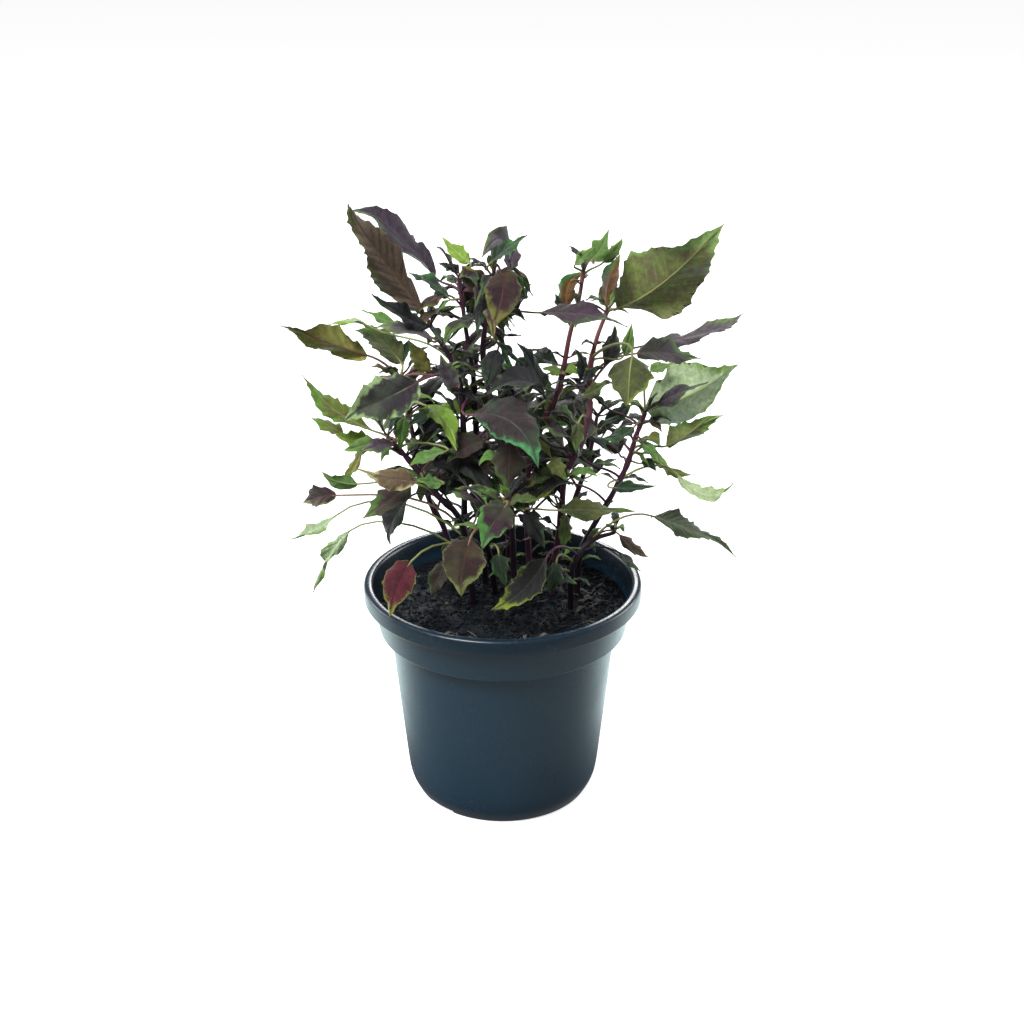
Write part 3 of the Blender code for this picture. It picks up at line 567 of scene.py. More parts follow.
# Stalks, which arch from the stem to the blade and run on below it as its midrib
PETIOLE_RADIUS = 0.0006
PETIOLE_ARCH = 0.3
PETIOLE_LEAD = 0.35
PETIOLE_LEAST = 0.7
PETIOLE_GAIN = 0.3
PETIOLE_FOOT = 1.25
PETIOLE_TAPER = 0.35
PETIOLE_STEPS = 7
MIDRIB_SHARE = 0.8
MIDRIB_THINNING = 0.8
MIDRIB_SINK = 0.75
MIDRIB_STEPS = 8
MIDRIB_END = 0.96
MIDRIB_TIP_RADIUS = 0.00006
STALK_SIDES = 8
WIDE_BLADE = 0.016

# The solids' blades, how far one may lie from its leaf's place along the line of sight, and how near
# the leaf it has to be found
CAD_THICKNESS = 0.0007
BASE_ROUNDING = 0.95
TIP_DRAWING = 1.4
SHIFTS = (0.0, -0.003, 0.003, -0.006, 0.006, -0.009, 0.009, -0.013, 0.013, -0.018, 0.018)
MATCH = 0.0009

# Blades: lengths in metres, and the rest as shares of the length or of the half width
SKIN_THICKNESS = 0.00045
TINY_BLADE = 0.0062
SMALL_BLADE = 0.0135
LOBE = 0.055
LOBE_PEAK = 0.74
TOOTH_PITCH = 0.0054
TOOTH_DEPTH = 0.23
TOOTH_SIZES = (0.1, 1.3)
TOOTH_PEAK = 0.74
TOOTH_MIDDLE = 0.35
# The rows of points along each tooth, and how far out its edge is at each, both from 0 to 1
TOOTH_ROWS = {0.0: 0.0, 0.28: 0.15, 0.52: 0.5, TOOTH_PEAK: 1.0, 0.84: 0.8, 0.93: 0.3}
SMOOTH_BASE = 2.5
LEAST_REACH = 0.0002
SHORT_BLADE = 0.016
COLUMNS = (0.08, 0.22, 0.42, 0.64, 0.84, 1.0)
SHORT_COLUMNS = (0.16, 0.42, 0.74, 1.0)
VEIN_SWEEP = 0.19
QUILTING = 0.09
TWIST = 0.5
TWIST_MIDDLE = 0.4
HOOK = 0.12
HOOK_START = 0.6
BLADE_FOLD = 0.22
CREASE = 0.5
CREASE_WIDTH = 0.0012
CURL = 0.35
BLADE_WAVE = 0.028
RUFFLE = 0.06
RUFFLE_RATES = (7, 12)
BLADE_CREASE = 70
# A shorter blade has the pattern of one that is this long
FULL_LENGTH = 0.026

# Each stem: its tone from 0, green, to 1, dark purple, its foot on the soil (x, y), then its route from
# the front (x, z, depth), in millimetres
STEMS = {
    "stem_low_left": (
        0.72,
        (-15, -5),
        [(-20, 145, -12), (-33, 162, -17), (-46, 180, -15), (-56, 192, -12)],
    ),
    "stem_high_left": (
        0.78,
        (-21, 8),
        [(-19, 150, 5), (-19, 200, 0), (-21, 222, -2), (-28, 238, -3), (-34, 248, -2)],
    ),
    "stem_centre_left": (
        0.72,
        (-9, 18),
        [(-10, 160, 14), (-13, 200, 12), (-14, 225, 10), (-17, 245, 8), (-20, 271, 6)],
    ),
    "stem_centre": (
        0.74,
        (6, -5),
        [(5, 140, -8), (3, 165, -8), (-3, 200, -7), (-9, 230, -6), (-7, 254, -8), (-4, 271, -8)],
    ),
    "stem_front": (0.9, (-4, 6), [(-6, 126, -4), (-9, 140, -20), (-5, 151, -32), (1, 157, -38)]),
    "stem_centre_right": (
        0.36,
        (14, 14),
        [
            (12, 165, 13),
            (17, 193, 11),
            (25, 210, 8),
            (29, 225, 8),
            (32, 243, 10),
            (36, 260, 12),
            (38, 274, 12),
        ],
    ),
    "stem_high_right": (
        0.4,
        (25, 7),
        [
            (29, 150, 3),
            (31, 172, -2),
            (38, 187, -4),
            (42, 205, -3),
            (42, 226, 0),
            (45, 242, 2),
            (50, 256, 4),
        ],
    ),
    "stem_right": (
        0.66,
        (38, 7),
        [(39, 130, 5), (46, 146, 3), (54, 161, 1), (61, 177, -1), (65, 192, -2), (69, 204, -3)],
    ),
    "stem_low_right": (0.85, (34, -11), [(35, 122, -16), (44, 136, -14), (56, 141, -10)]),
    "stem_left_back": (
        0.5,
        (-24, 24),
        [(-29, 143, 22), (-36, 158, 20), (-42, 185, 15), (-46, 207, 9), (-49, 222, 5)],
    ),
    "stem_back": (0.45, (3, 31), [(3, 160, 36), (6, 190, 46), (8, 212, 54)]),
    "stem_right_back": (0.6, (24, 27), [(33, 150, 32), (42, 180, 42), (46, 203, 50)]),
}
LOWER_STEM_TONE = 0.3
LOWER_STEM = (0.35, 0.8)

# The leaves of each stem: base, middle and tip from the front (x, z, depth), width, turn, and skin.
# Past a turn of 90 the blade shows its underside, and the skin named is that underside.
LEAVES = {
    "stem_low_left": [
        ((-63, 195, -14), (-84, 208, -12), (-93, 224, -6), 10, 30, "spring"),
        ((-77, 193, 0), (-85, 198, 2), (-92, 202, 4), 8, 40, "spring"),
        ((-64, 190, -2), (-73, 190, -4), (-82, 193, -6), 9, 30, "lime"),
        ((-61, 189, -20), (-69, 187, -24), (-77, 183, -28), 8, 10, "leaf_green"),
        ((-53, 188, -26), (-61, 187, -32), (-69, 183, -36), 7, 20, "ash"),
        ((-67, 187, 6), (-72, 177, 8), (-78, 164, 10), 6, 50, "olive"),
        ((-83, 150, -8), (-94, 142, -18), (-106, 137, -28), 7, 50, "pale"),
        ((-76, 142, 2), (-87, 128, 12), (-96, 107, 21), 7, 40, "pale"),
        ((-45, 167, -24), (-56, 158, -32), (-70, 148, -38), 13, 25, "brindle"),
        ((-71, 167, -16), (-80, 168, -18), (-90, 172, -20), 8, 160, "leaf_green"),
        ((-82, 161, 0), (-91, 160, 6), (-99, 157, 12), 10, 10, "bronze"),
        ((-42, 168, -34), (-57, 170, -42), (-72, 173, -48), 12, 35, "cream"),
        ((-47, 159, -12), (-55, 146, -16), (-57, 134, -20), 11, 40, "night"),
        ((-30, 167, -30), (-36, 168, -33), (-43, 170, -36), 7, 30, "leaf_green"),
        ((-38, 167, -8), (-40, 163, -9), (-41, 157, -10), 6, 20, "leaf_green"),
        ((-28, 184, -24), (-37, 181, -28), (-46, 176, -32), 8, 40, "leaf_green"),
    ],
    "stem_high_left": [
        ((-35, 251, 2), (-58, 283, -14), (-72, 304, -32), 17, 25, "drab"),
        ((-34, 247, -6), (-48, 253, -16), (-61, 265, -26), 10, 35, "night"),
        ((-50, 247, 6), (-57, 251, 7), (-66, 256, 8), 6, 40, "leaf_green"),
        ((-62, 247, 12), (-72, 250, 12), (-83, 248, 12), 4, 70, "pale"),
        ((-33, 240, -10), (-46, 246, -15), (-61, 247, -19), 10, 58, "ash"),
        ((-22, 217, -14), (-26, 225, -18), (-29, 234, -22), 9, -20, "ash"),
        ((-40, 220, -14), (-59, 210, -30), (-79, 203, -44), 22, 15, "frosted"),
    ],
    "stem_centre_left": [
        ((-31, 271, 14), (-50, 293, 24), (-66, 306, 38), 13, 35, "violet"),
        ((-25, 261, 2), (-34, 269, 8), (-44, 273, 14), 8, 50, "forest"),
        ((-15, 203, -26), (6, 198, -40), (18, 175, -50), 21, 15, "dusky"),
        ((-9, 206, -4), (-24, 206, -10), (-40, 209, -14), 9, 45, "lime"),
        ((-9, 264, -8), (-14, 271, -9), (-18, 277, -10), 12, -20, "magenta"),
        ((-21, 268, 12), (-15, 260, 14), (-14, 246, 14), 8, 10, "umber"),
        ((-15, 278, 2), (-21, 283, 8), (-28, 290, 14), 7, 10, "lime"),
        ((-20, 273, 6), (-24, 276, 8), (-30, 277, 10), 5, 30, "night"),
        ((-9, 190, -6), (-18, 186, -12), (-28, 178, -18), 13, 30, "umber"),
        ((-12, 175, 2), (-20, 169, -4), (-29, 161, -10), 13, 30, "night"),
    ],
    "stem_centre": [
        ((4, 188, -24), (3, 177, -30), (3, 162, -34), 16, 5, "umber"),
        ((27, 153, -26), (46, 153, -31), (66, 152, -34), 11, 35, "moss"),
        ((17, 254, -16), (38, 253, -26), (61, 249, -34), 11, 50, "mauve"),
        ((4, 277, -4), (-1, 289, -12), (-10, 280, -20), 12, 20, "heather"),
        ((-6, 277, -6), (3, 285, -14), (12, 290, -20), 7, 40, "forest"),
        ((0, 270, -16), (6, 268, -20), (11, 260, -23), 8, 20, "forest"),
        ((-1, 275, -16), (0, 262, -21), (-6, 246, -24), 17, 0, "magenta"),
        ((3, 252, 4), (7, 260, 12), (14, 268, 20), 9, 40, "night"),
        ((3, 265, 6), (3, 258, 4), (-2, 250, 2), 8, 10, "umber"),
        ((-3, 240, -12), (2, 233, -15), (6, 222, -17), 4, 50, "forest"),
        ((-1, 239, 0), (6, 232, 2), (11, 222, 4), 4, 60, "forest"),
        ((-2, 236, -20), (-5, 227, -24), (-7, 216, -27), 11, 20, "night"),
        ((0, 229, -6), (2, 225, -5), (2, 219, -4), 5, 20, "leaf_green"),
        ((-3, 180, -16), (-7, 182, -18), (-12, 177, -20), 6, 40, "leaf_green"),
        ((12, 150, -20), (16, 143, -24), (22, 132, -27), 10, 20, "night"),
        ((3, 275, 0), (5, 281, 2), (5, 288, 4), 8, 20, "heather"),
    ],
    "stem_front": [
        ((-46, 125, -36), (-53, 112, -44), (-58, 93, -52), 16, 5, "crimson"),
        ((-16, 138, -36), (-20, 123, -43), (-22, 105, -48), 22, 0, "bronze"),
        ((2, 156, -46), (-4, 147, -52), (-12, 132, -56), 18, 10, "zigzag"),
        ((-1, 158, -42), (-6, 161, -46), (-12, 163, -50), 7, 50, "young"),
        ((4, 157, -42), (10, 159, -46), (18, 158, -50), 8, 50, "young"),
        ((1, 160, -37), (1, 163, -36), (-2, 167, -36), 5, 20, "young"),
        ((4, 156, -47), (8, 156, -51), (12, 153, -55), 6, 30, "young"),
        ((-2, 130, -24), (-1, 121, -28), (2, 111, -30), 9, 10, "forest"),
        ((-28, 126, -20), (-33, 115, -26), (-37, 106, -30), 10, 20, "umber"),
    ],
    "stem_centre_right": [
        ((31, 256, 16), (31, 267, 18), (38, 275, 18), 9, 20, "ember"),
        ((34, 277, 8), (38, 281, 7), (43, 286, 6), 6, 30, "leaf_green"),
        ((41, 279, 14), (46, 285, 14), (49, 294, 14), 9, 20, "leaf_green"),
        ((47, 278, 20), (52, 283, 20), (57, 289, 20), 6, 20, "leaf_green"),
        ((20, 213, -8), (15, 226, -12), (9, 242, -16), 12, 50, "night"),
        ((21, 216, -14), (6, 220, -20), (-9, 213, -26), 12, 45, "night"),
        ((28, 224, 2), (24, 226, 0), (19, 227, -2), 6, 40, "lime"),
        ((30, 224, 2), (33, 226, 0), (37, 223, -2), 6, 40, "lime"),
        ((21, 222, 0), (22, 215, -3), (22, 207, -6), 5, 40, "leaf_green"),
        ((16, 206, -12), (13, 198, -16), (14, 187, -18), 10, 10, "forest"),
        ((15, 195, -22), (20, 188, -26), (25, 180, -30), 6, 50, "olive"),
        ((21, 206, 2), (18, 199, 0), (17, 189, -2), 11, 20, "forest"),
    ],
    "stem_high_right": [
        ((64, 234, 16), (79, 234, 22), (95, 230, 27), 13, 30, "ash_green"),
        ((74, 239, 26), (96, 244, 36), (116, 252, 46), 10, 45, "ash"),
        ((62, 233, -22), (61, 221, -28), (61, 207, -32), 21, 170, "moss_lime"),
        ((58, 233, -2), (60, 240, -2), (61, 249, -2), 6, 10, "leaf_green"),
        ((49, 228, 6), (52, 238, 8), (54, 248, 10), 9, 25, "night"),
        ((54, 256, 2), (77, 270, -12), (102, 297, -28), 37, 150, "mottled"),
        ((49, 257, 10), (50, 268, 12), (54, 283, 12), 16, 130, "ember"),
        ((37, 221, -6), (38, 229, -8), (35, 237, -10), 6, 30, "night"),
        ((39, 220, -3), (42, 224, -4), (46, 229, -5), 5, 30, "night"),
        ((37, 199, -16), (36, 192, -19), (36, 183, -21), 7, 20, "moss"),
        ((24, 179, -12), (27, 175, -16), (31, 168, -19), 8, 20, "sallow"),
        ((34, 172, -12), (40, 174, -14), (47, 171, -16), 6, 40, "leaf_green"),
        ((31, 151, -10), (31, 142, -12), (31, 130, -14), 7, 20, "moss"),
        ((39, 213, -8), (45, 216, -12), (50, 221, -15), 7, 20, "moss"),
    ],
    "stem_right": [
        ((86, 172, -10), (101, 161, -20), (114, 167, -28), 8, 30, "pale"),
        ((74, 186, 4), (81, 175, 2), (95, 172, 0), 6, 40, "sallow"),
        ((54, 165, -16), (65, 165, -18), (76, 166, -20), 6, 35, "forest"),
        ((80, 187, -10), (91, 194, -22), (104, 206, -33), 13, 150, "sallow"),
        ((69, 206, -2), (92, 214, 8), (113, 230, 20), 30, 155, "silver"),
        ((62, 208, 8), (55, 202, 10), (47, 192, 12), 8, 40, "forest"),
        ((64, 197, -12), (57, 192, -15), (48, 191, -18), 8, 50, "forest"),
        ((70, 190, -10), (74, 192, -11), (77, 186, -12), 6, 30, "olive"),
        ((74, 208, -14), (85, 214, -24), (99, 220, -32), 8, 40, "violet"),
        ((68, 178, -4), (72, 178, -6), (76, 174, -8), 6, 20, "forest"),
        ((71, 225, 4), (75, 227, 6), (82, 229, 8), 6, 30, "leaf_green"),
    ],
    "stem_low_right": [
        ((22, 127, -36), (11, 110, -42), (-6, 96, -46), 15, 15, "inky"),
        ((74, 150, 2), (95, 142, 14), (117, 133, 27), 10, 40, "sage"),
        ((58, 140, -6), (66, 132, -8), (73, 127, -10), 6, 20, "drab"),
        ((58, 130, -18), (64, 125, -21), (69, 119, -24), 6, 50, "night"),
        ((28, 118, -26), (32, 115, -29), (38, 113, -32), 6, 40, "forest"),
        ((27, 125, -22), (26, 116, -25), (24, 107, -27), 9, 20, "forest"),
    ],
    "stem_left_back": [
        ((-64, 233, -2), (-84, 240, -12), (-104, 249, -24), 15, 150, "olive"),
        ((-48, 229, 8), (-57, 240, 16), (-68, 248, 24), 13, 20, "moss"),
        ((-34, 225, -6), (-40, 232, -10), (-44, 241, -14), 9, 15, "olive"),
        ((-48, 206, 0), (-53, 201, -2), (-58, 194, -4), 8, 20, "ash"),
        ((-47, 202, -6), (-49, 194, -9), (-50, 185, -12), 7, 10, "leaf_green"),
        ((-34, 205, 6), (-40, 201, 4), (-48, 196, 2), 8, 40, "forest"),
    ],
}

# Leaves inside and behind: pairs up each stem
PAIR_SPACING = 0.007
FIRST_PAIR = 0.142
RULE_LENGTH = (0.022, 0.038)
RULE_WIDTH = (0.42, 0.54)
RULE_PETIOLE = (0.010, 0.022)
RULE_TURN = (-0.3, 0.3)
RULE_LIFT = (0.15, 0.8)
RULE_DROOP = (-0.1, 0.6)
RULE_ARCH = 0.16
RULE_CANT = 0.3
RULE_START = (0.2, 1.2)
HIDDEN_MIDDLE = (0.004, 0.190)
HIDDEN_SPAN = (0.056, 0.044)
FRONT_LIMIT = -0.022
SEED = 24
SKIN_SEED = 333
# Mostly dark skins: partly the leaves' own colour, partly a painted shade for the inside of the plant.
RULE_SKINS = "plum plum night night night inky umber umber forest forest moss lime".split()

# Small leaves in the axils and at the tips
FIRST_SHOOT = 0.122
SHOOT_SPACING = (0.005, 0.009)
YOUNG_LENGTH = (0.007, 0.014)
YOUNG_WIDTH = (0.3, 0.42)
YOUNG_STALK = (0.15, 0.5)
YOUNG_LIFT = 1.1
YOUNG_DROOP = 0.8
YOUNG_CANT = 0.8
AXIL_LIFT = 0.1
TIP_LIFT = 0.9
# The dark skins of the inner and unthicketed shoots are partly their own colour, partly a painted shade.
DARK_SHOOTS = "night night night plum plum umber inky forest magenta leaf_green young".split()
RED_SHOOTS = "magenta magenta umber plum plum night forest leaf_green".split()
GREEN_SHOOTS = "spring forest leaf_green umber cream moss magenta".split()
# Where they stand close, as ellipses seen from the front: middle, half spans, the leaves' lengths,
# how far they hang, how far forward they may reach, and their skins
THICKETS = (
    (HIDDEN_MIDDLE, HIDDEN_SPAN, (0.010, 0.022), 0.0, 0.004, DARK_SHOOTS),
    ((-0.007, 0.266), (0.026, 0.020), (0.014, 0.025), 0.6, 1.0, RED_SHOOTS),
    ((-0.058, 0.190), (0.030, 0.032), (0.010, 0.019), 0.1, 1.0, GREEN_SHOOTS),
    ((0.068, 0.196), (0.016, 0.024), (0.010, 0.018), 0.3, 1.0, RED_SHOOTS),
)
OPEN_PLACE = (None, None, YOUNG_LENGTH, 0.0, 1.0, DARK_SHOOTS)

# Each skin: heart, patches, margin and veins, the margin's width and how far it flares at the tip in
# millimetres, and the stalk's tone
SKINS = {
    "plum": ("251920", "35242d", "5b803c", "48333c", 0.72, 6, 0.8),
    "brindle": ("413032", "513f3c", "668841", "62504e", 0.48, 9, 0.5),
    "violet": ("2f2432", "402f3e", "5f7b4f", "514653", 0.1, 4, 0.8),
    "mauve": ("3d2d39", "4a3645", "648655", "5e495a", 0.24, 6, 0.3),
    "night": ("14191d", "231f27", "3f5f35", "322f33", 0.3, 4, 0.95),
    "ash": ("584b57", "6c5e6b", "829b5d", "807181", 0.3, 7, 0.5),
    "ash_green": ("453a41", "564950", "689348", "665961", 0.5, 10, 0.3),
    "dusky": ("2a2122", "382d30", "55a262", "4f4248", 0.3, 9, 0.6),
    "frosted": ("1e1622", "2a202b", "9ebf80", "382d39", 1.7, 3, 0.5),
    "crimson": ("5c1c29", "69262f", "9fa748", "481823", 0, 3, 0.1),
    "bronze": ("31231e", "3a2022", "8f9a5a", "4c3431", 0.1, 4, 0.3),
    "cream": ("57352b", "674034", "c6c68c", "765948", 1.7, 6, 0.2),
    "umber": ("2b221e", "362621", "4f6a35", "483a31", 0.3, 4, 0.6),
    "drab": ("6c5850", "756252", "6a743c", "8a745d", 0.36, 5, 0.3),
    "inky": ("171617", "221f1f", "8c9f34", "3c4440", 0, 6, 0.7),
    "zigzag": ("301e26", "3e2630", "539345", "4c333e", 1.2, 7, 0.2),
    "magenta": ("35162a", "3e2a26", "848040", "512a41", 0.24, 7, 0.6),
    "heather": ("4a3c4e", "685868", "688744", "796a7e", 0.24, 3, 0.6),
    "ember": ("6f4520", "553821", "438039", "966b38", 0.6, 5, 0.3),
    "mottled": ("899a48", "79664f", "a0c371", "b3c579", 0.5, 8, 0.1),
    "olive": ("919643", "a79c4e", "7c9a45", "acb060", 0.36, 7, 0.35),
    "sallow": ("a2b65c", "8d8c55", "7aa044", "c2d484", 0.6, 6, 0.1),
    "moss": ("394527", "535528", "5f8037", "626b40", 0.36, 7, 0.1),
    "moss_lime": ("4e5a30", "474539", "87a03c", "737f48", 0.5, 3, 0.1),
    "forest": ("1a2a20", "223924", "3e7234", "3c4e3b", 0.3, 4, 0.15),
    "leaf_green": ("4d7c35", "658f43", "76a543", "8ca767", 0.48, 5, 0.05),
    "lime": ("6f9f2c", "86b238", "93bd4a", "acbe6c", 0.48, 5, 0.0),
    "spring": ("5b592b", "708035", "659434", "8d9b58", 0.72, 14, 0.1),
    "pale": ("afcd95", "c1d7a6", "90bb52", "d6e4c1", 0.36, 8, 0.0),
    "sage": ("52523d", "4c603d", "758c4f", "727d5d", 0.36, 5, 0.2),
    "silver": ("c2dc9e", "d0e5b0", "a5cc70", "e3f0d2", 0.4, 8, 0.0),
    "young": ("3f4a20", "45381f", "518a2b", "5e7838", 1.44, 4, 0.2),
    "under_purple": ("42393c", "4a4234", "71874f", "5f5459", 0.6, 6, 0.5),
    "under_green": ("768e61", "839c6c", "7f9b55", "9cb386", 0.36, 5, 0.1),
}
DARK_SKINS = "plum brindle violet night ash dusky frosted crimson umber heather".split()

# Many blades keep their green margin on one side only. The bare side counts as this many millimetres
# further in, and 2 means that both sides keep their margin.
BARE = 2.5
BARE_SIDES = {"dusky": -1, "frosted": 2, "zigzag": -1, "cream": 2}

# What the skin is drawn by at each point: its place along the blade from 0 to 1, its distance in from
# the edge in millimetres, its place among the side veins, its distance out from the midrib in
# millimetres, and the blade's mood. On a stem or a stalk the mood is its tone.
MARKS = ("along", "inset", "rib", "spread", "mood")

# Patterns as for the plastic: patches, clouds, flecks and fine mottling in the blades, and streaks
# along the stems
BLADE_GRAINS = (
    (0.013, 1.0, 0.5, 1.0),
    (0.006, 4.0, 0.65, 1.0),
    (0.0024, 3.0, 0.7, 1.0),
    (0.0011, 3.0, 0.6, 1.0),
)
STEM_GRAINS = ((0.0012, 3.0, 0.6, 0.15),)
# The net of veins, in cells to the metre, is a little coarser than a real one, so that it shows
VEIN_NET = 620.0

# A leaf: where its petiole leaves the stem, the base, middle and tip of its midrib, its width, the way
# its upper side faces, the skins above and below, and the tone of its stalk
Leaf = namedtuple("Leaf", "root base mid tip width facing look under tone", defaults=(None,) * 3)


def seen(place):
    """The point at this depth that shows at x, z on the middle plane, seen from EYE."""
    x, z, depth = place
    near = (depth * MM - EYE.y) / -EYE.y
    return Vector((EYE.x + (x * MM - EYE.x) * near, depth * MM, EYE.z + (z * MM - EYE.z) * near))


def smooth_route(points, steps):
    """Points of a smooth curve through all of these points, with steps to each stretch."""
    ends = [2 * points[0] - points[1], *points, 2 * points[-1] - points[-2]]
    route = []
    for a, b, c, d in zip(ends, ends[1:], ends[2:], ends[3:]):
        for i in range(steps):
            t = i / steps
            bend = 2 * a - 5 * b + 4 * c - d
            sweep = 3 * (b - c) + d - a
            route.append(b + 0.5 * t * ((c - a) + t * (bend + t * sweep)))
    return route + [points[-1]]


def stem_route(name, steps):
    _, (x, y), route = STEMS[name]
    bottom = Vector((x * MM, y * MM, SOIL_TOP - HOLE_DEPTH))
    top = Vector((x * MM, y * MM, SOIL_TOP + STEM_RISE))
    return [bottom] + smooth_route([top] + [seen(place) for place in route], steps)


def at_height(route, height):
    """The point of a stem's middle line at this height, or its top."""
    for low, high in zip(route[1:], route[2:]):
        if low.z <= height <= high.z:
            return low.lerp(high, (height - low.z) / (high.z - low.z))
    return route[-1] if height > route[-1].z else route[1]


def root_for(route, base):
    """Where a petiole leaves its stem: lower than the blade, more so the further out the blade is."""
    out = min(abs(base.x - p.x) + 0.5 * abs(base.y - p.y) for p in route[2:])
    return at_height(route, min(base.z - ROOT_DROP * out, route[-1].z - CAD_THICKNESS))


def square_on(base, mid, tip, turn):
    """The way the upper side faces, from its turn away from the viewer about the leaf's length."""
    along = (tip - base).normalized()
    to_viewer = EYE - mid
    to_viewer = (to_viewer - along * to_viewer.dot(along)).normalized()
    across = along.cross(to_viewer)
    if across.dot(FACE_REFERENCE) < 0:
        across = -across
    return math.cos(turn) * to_viewer + math.sin(turn) * across


def underside(look):
    return "under_purple" if look in DARK_SKINS else "under_green"


def front_leaf(route, base, mid, tip, width, turn, look):
    places = [seen(place) for place in (base, mid, tip)]
    near = (places[1].y - EYE.y) / -EYE.y
    facing = square_on(*places, math.radians(turn))
    looks = (look, underside(look)) if turn < 90 else ("plum", look)
    return Leaf(root_for(route, places[0]), *places, width * MM * near, facing, *looks, SKINS[look][-1])


def is_hidden(point, middle=HIDDEN_MIDDLE, span=HIDDEN_SPAN):
    """Whether the middle mass of leaves covers this point from the front."""
    near = -EYE.y / (point.y - EYE.y)
    x = EYE.x + (point.x - EYE.x) * near
    z = EYE.z + (point.z - EYE.z) * near
    return ((x - middle[0]) / span[0]) ** 2 + ((z - middle[1]) / span[1]) ** 2 < 1


def heading(angle):
    return Vector((math.cos(angle), math.sin(angle), 0.0))


def arched(root, base, way, length, width, facing):
    """A leaf without a skin that arches from its base this way."""
    tip = base + length * way.normalized()
    return Leaf(root, base, (base + tip) / 2 + RULE_ARCH * length * UP, tip, width, facing)


def dressed(leaf, look):
    return leaf._replace(look=look, under=underside(look), tone=SKINS[look][-1])


def rule_leaves(routes):
    """Each stem's name with its opposite leaves, each pair a quarter turn from the one below."""
    draw = random.Random(SEED)
    choose = random.Random(SKIN_SEED)
    for stem, route in routes.items():
        height = FIRST_PAIR
        quarter = draw.uniform(*RULE_START)
        while height < route[-1].z:
            root = at_height(route, height)
            for half in (0, math.pi):
                out = heading(quarter + half + draw.uniform(*RULE_TURN))
                length = draw.uniform(*RULE_LENGTH)
                width = length * draw.uniform(*RULE_WIDTH)
                stalk = draw.uniform(*RULE_PETIOLE)
                lift = draw.uniform(*RULE_LIFT)
                droop = draw.uniform(*RULE_DROOP)
                way = out + (lift - 2 * droop) * UP
                base = root + stalk * (out + lift * UP)
                leaf = arched(root, base, way, length, width, UP + RULE_CANT * out)
                if leaf.tip.y > FRONT_LIMIT and is_hidden(leaf.tip) and is_hidden(leaf.mid):
                    yield stem, dressed(leaf, choose.choice(RULE_SKINS))
            quarter += math.pi / 2
            height += PAIR_SPACING


def shoot_places(route, draw):
    """The axils up a stem and its tip: where small leaves stand, and how steep and in what thicket."""
    height = FIRST_SHOOT
    while height < route[-1].z:
        root = at_height(route, height)
        thicket = next((place for place in THICKETS if is_hidden(root, *place[:2])), None)
        yield from [(root, AXIL_LIFT, thicket or OPEN_PLACE)] * (2 if thicket else 1)
        height += draw.uniform(*SHOOT_SPACING) * (1 if thicket else 2)
    yield from [(route[-1], TIP_LIFT, OPEN_PLACE)] * 2


def shoot_leaves(route, draw):
    """Small leaves in the axils all up a stem, and a tuft of the youngest at its tip."""
    for root, least_lift, (_, _, sizes, hang, reach, skins) in list(shoot_places(route, draw)):
        angle = draw.uniform(0, 2 * math.pi)
        for half in (0, math.pi):
            out = heading(angle + half + draw.uniform(*RULE_TURN))
            length = draw.uniform(*sizes)
            lift = least_lift + draw.uniform(0.0, YOUNG_LIFT)
            way = (out + lift * UP).normalized()
            base = root + length * draw.uniform(*YOUNG_STALK) * way
            way -= (hang + draw.uniform(0.0, YOUNG_DROOP)) * UP
            look = draw.choice(skins)
            width = length * draw.uniform(*YOUNG_WIDTH)
            leaf = arched(root, base, way, length, width, UP - YOUNG_CANT * lift * out)
            if leaf.tip.y >= root.y - reach:
                yield dressed(leaf, look)


def midrib(leaf, u):
    """The point and the direction of the midrib at u, from 0 at its base to 1 at its tip."""
    bend = 2 * leaf.mid - (leaf.base + leaf.tip) / 2
    point = (1 - u) ** 2 * leaf.base + 2 * u * (1 - u) * bend + u**2 * leaf.tip
    along = (1 - u) * (bend - leaf.base) + u * (leaf.tip - bend)
    return point, along.normalized()


def half_width(leaf, u):
    """An ovate outline, rounded at the base and drawn out to the tip."""
    widest = BASE_ROUNDING / (BASE_ROUNDING + TIP_DRAWING)
    return leaf.width / 2 * (u / widest) ** BASE_ROUNDING * ((1 - u) / (1 - widest)) ** TIP_DRAWING


def across_and_up(leaf, along):
    across = (leaf.tip - leaf.base).cross(leaf.facing)
    across = (across - along * across.dot(along)).normalized()
    return across, across.cross(along)


def petiole_points(leaf):
    """The petiole's middle line, arching from the stem to the blade."""
    start = leaf.root
    end, along = midrib(leaf, 0.0)
    reach = (end - start).length
    out = Vector((end.x - start.x, end.y - start.y, 0.0))
    leave = start + PETIOLE_ARCH * (out + reach * UP)
    arrive = end - PETIOLE_LEAD * reach * along
    points = []
    for i in range(PETIOLE_STEPS):
        t = i / PETIOLE_STEPS
        a, b = (1 - t) ** 3, 3 * t * (1 - t) ** 2
        c, d = 3 * t * t * (1 - t), t**3
        points.append(a * start + b * leave + c * arrive + d * end)
    return points


def placed_leaf(leaf, solid):
    """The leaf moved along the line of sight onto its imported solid, or None if it isn't there."""
    best, found = MATCH, None
    for distance in SHIFTS:
        base, mid, tip = [p + (p - EYE).normalized() * distance for p in (leaf.base, leaf.mid, leaf.tip)]
        moved = leaf._replace(base=base, mid=mid, tip=tip)
        miss = max(solid.find_nearest(midrib(moved, u)[0])[3] for u in (0.5, 0.75, 1.0))
        if miss < best:
            best, found = miss, moved
    return found


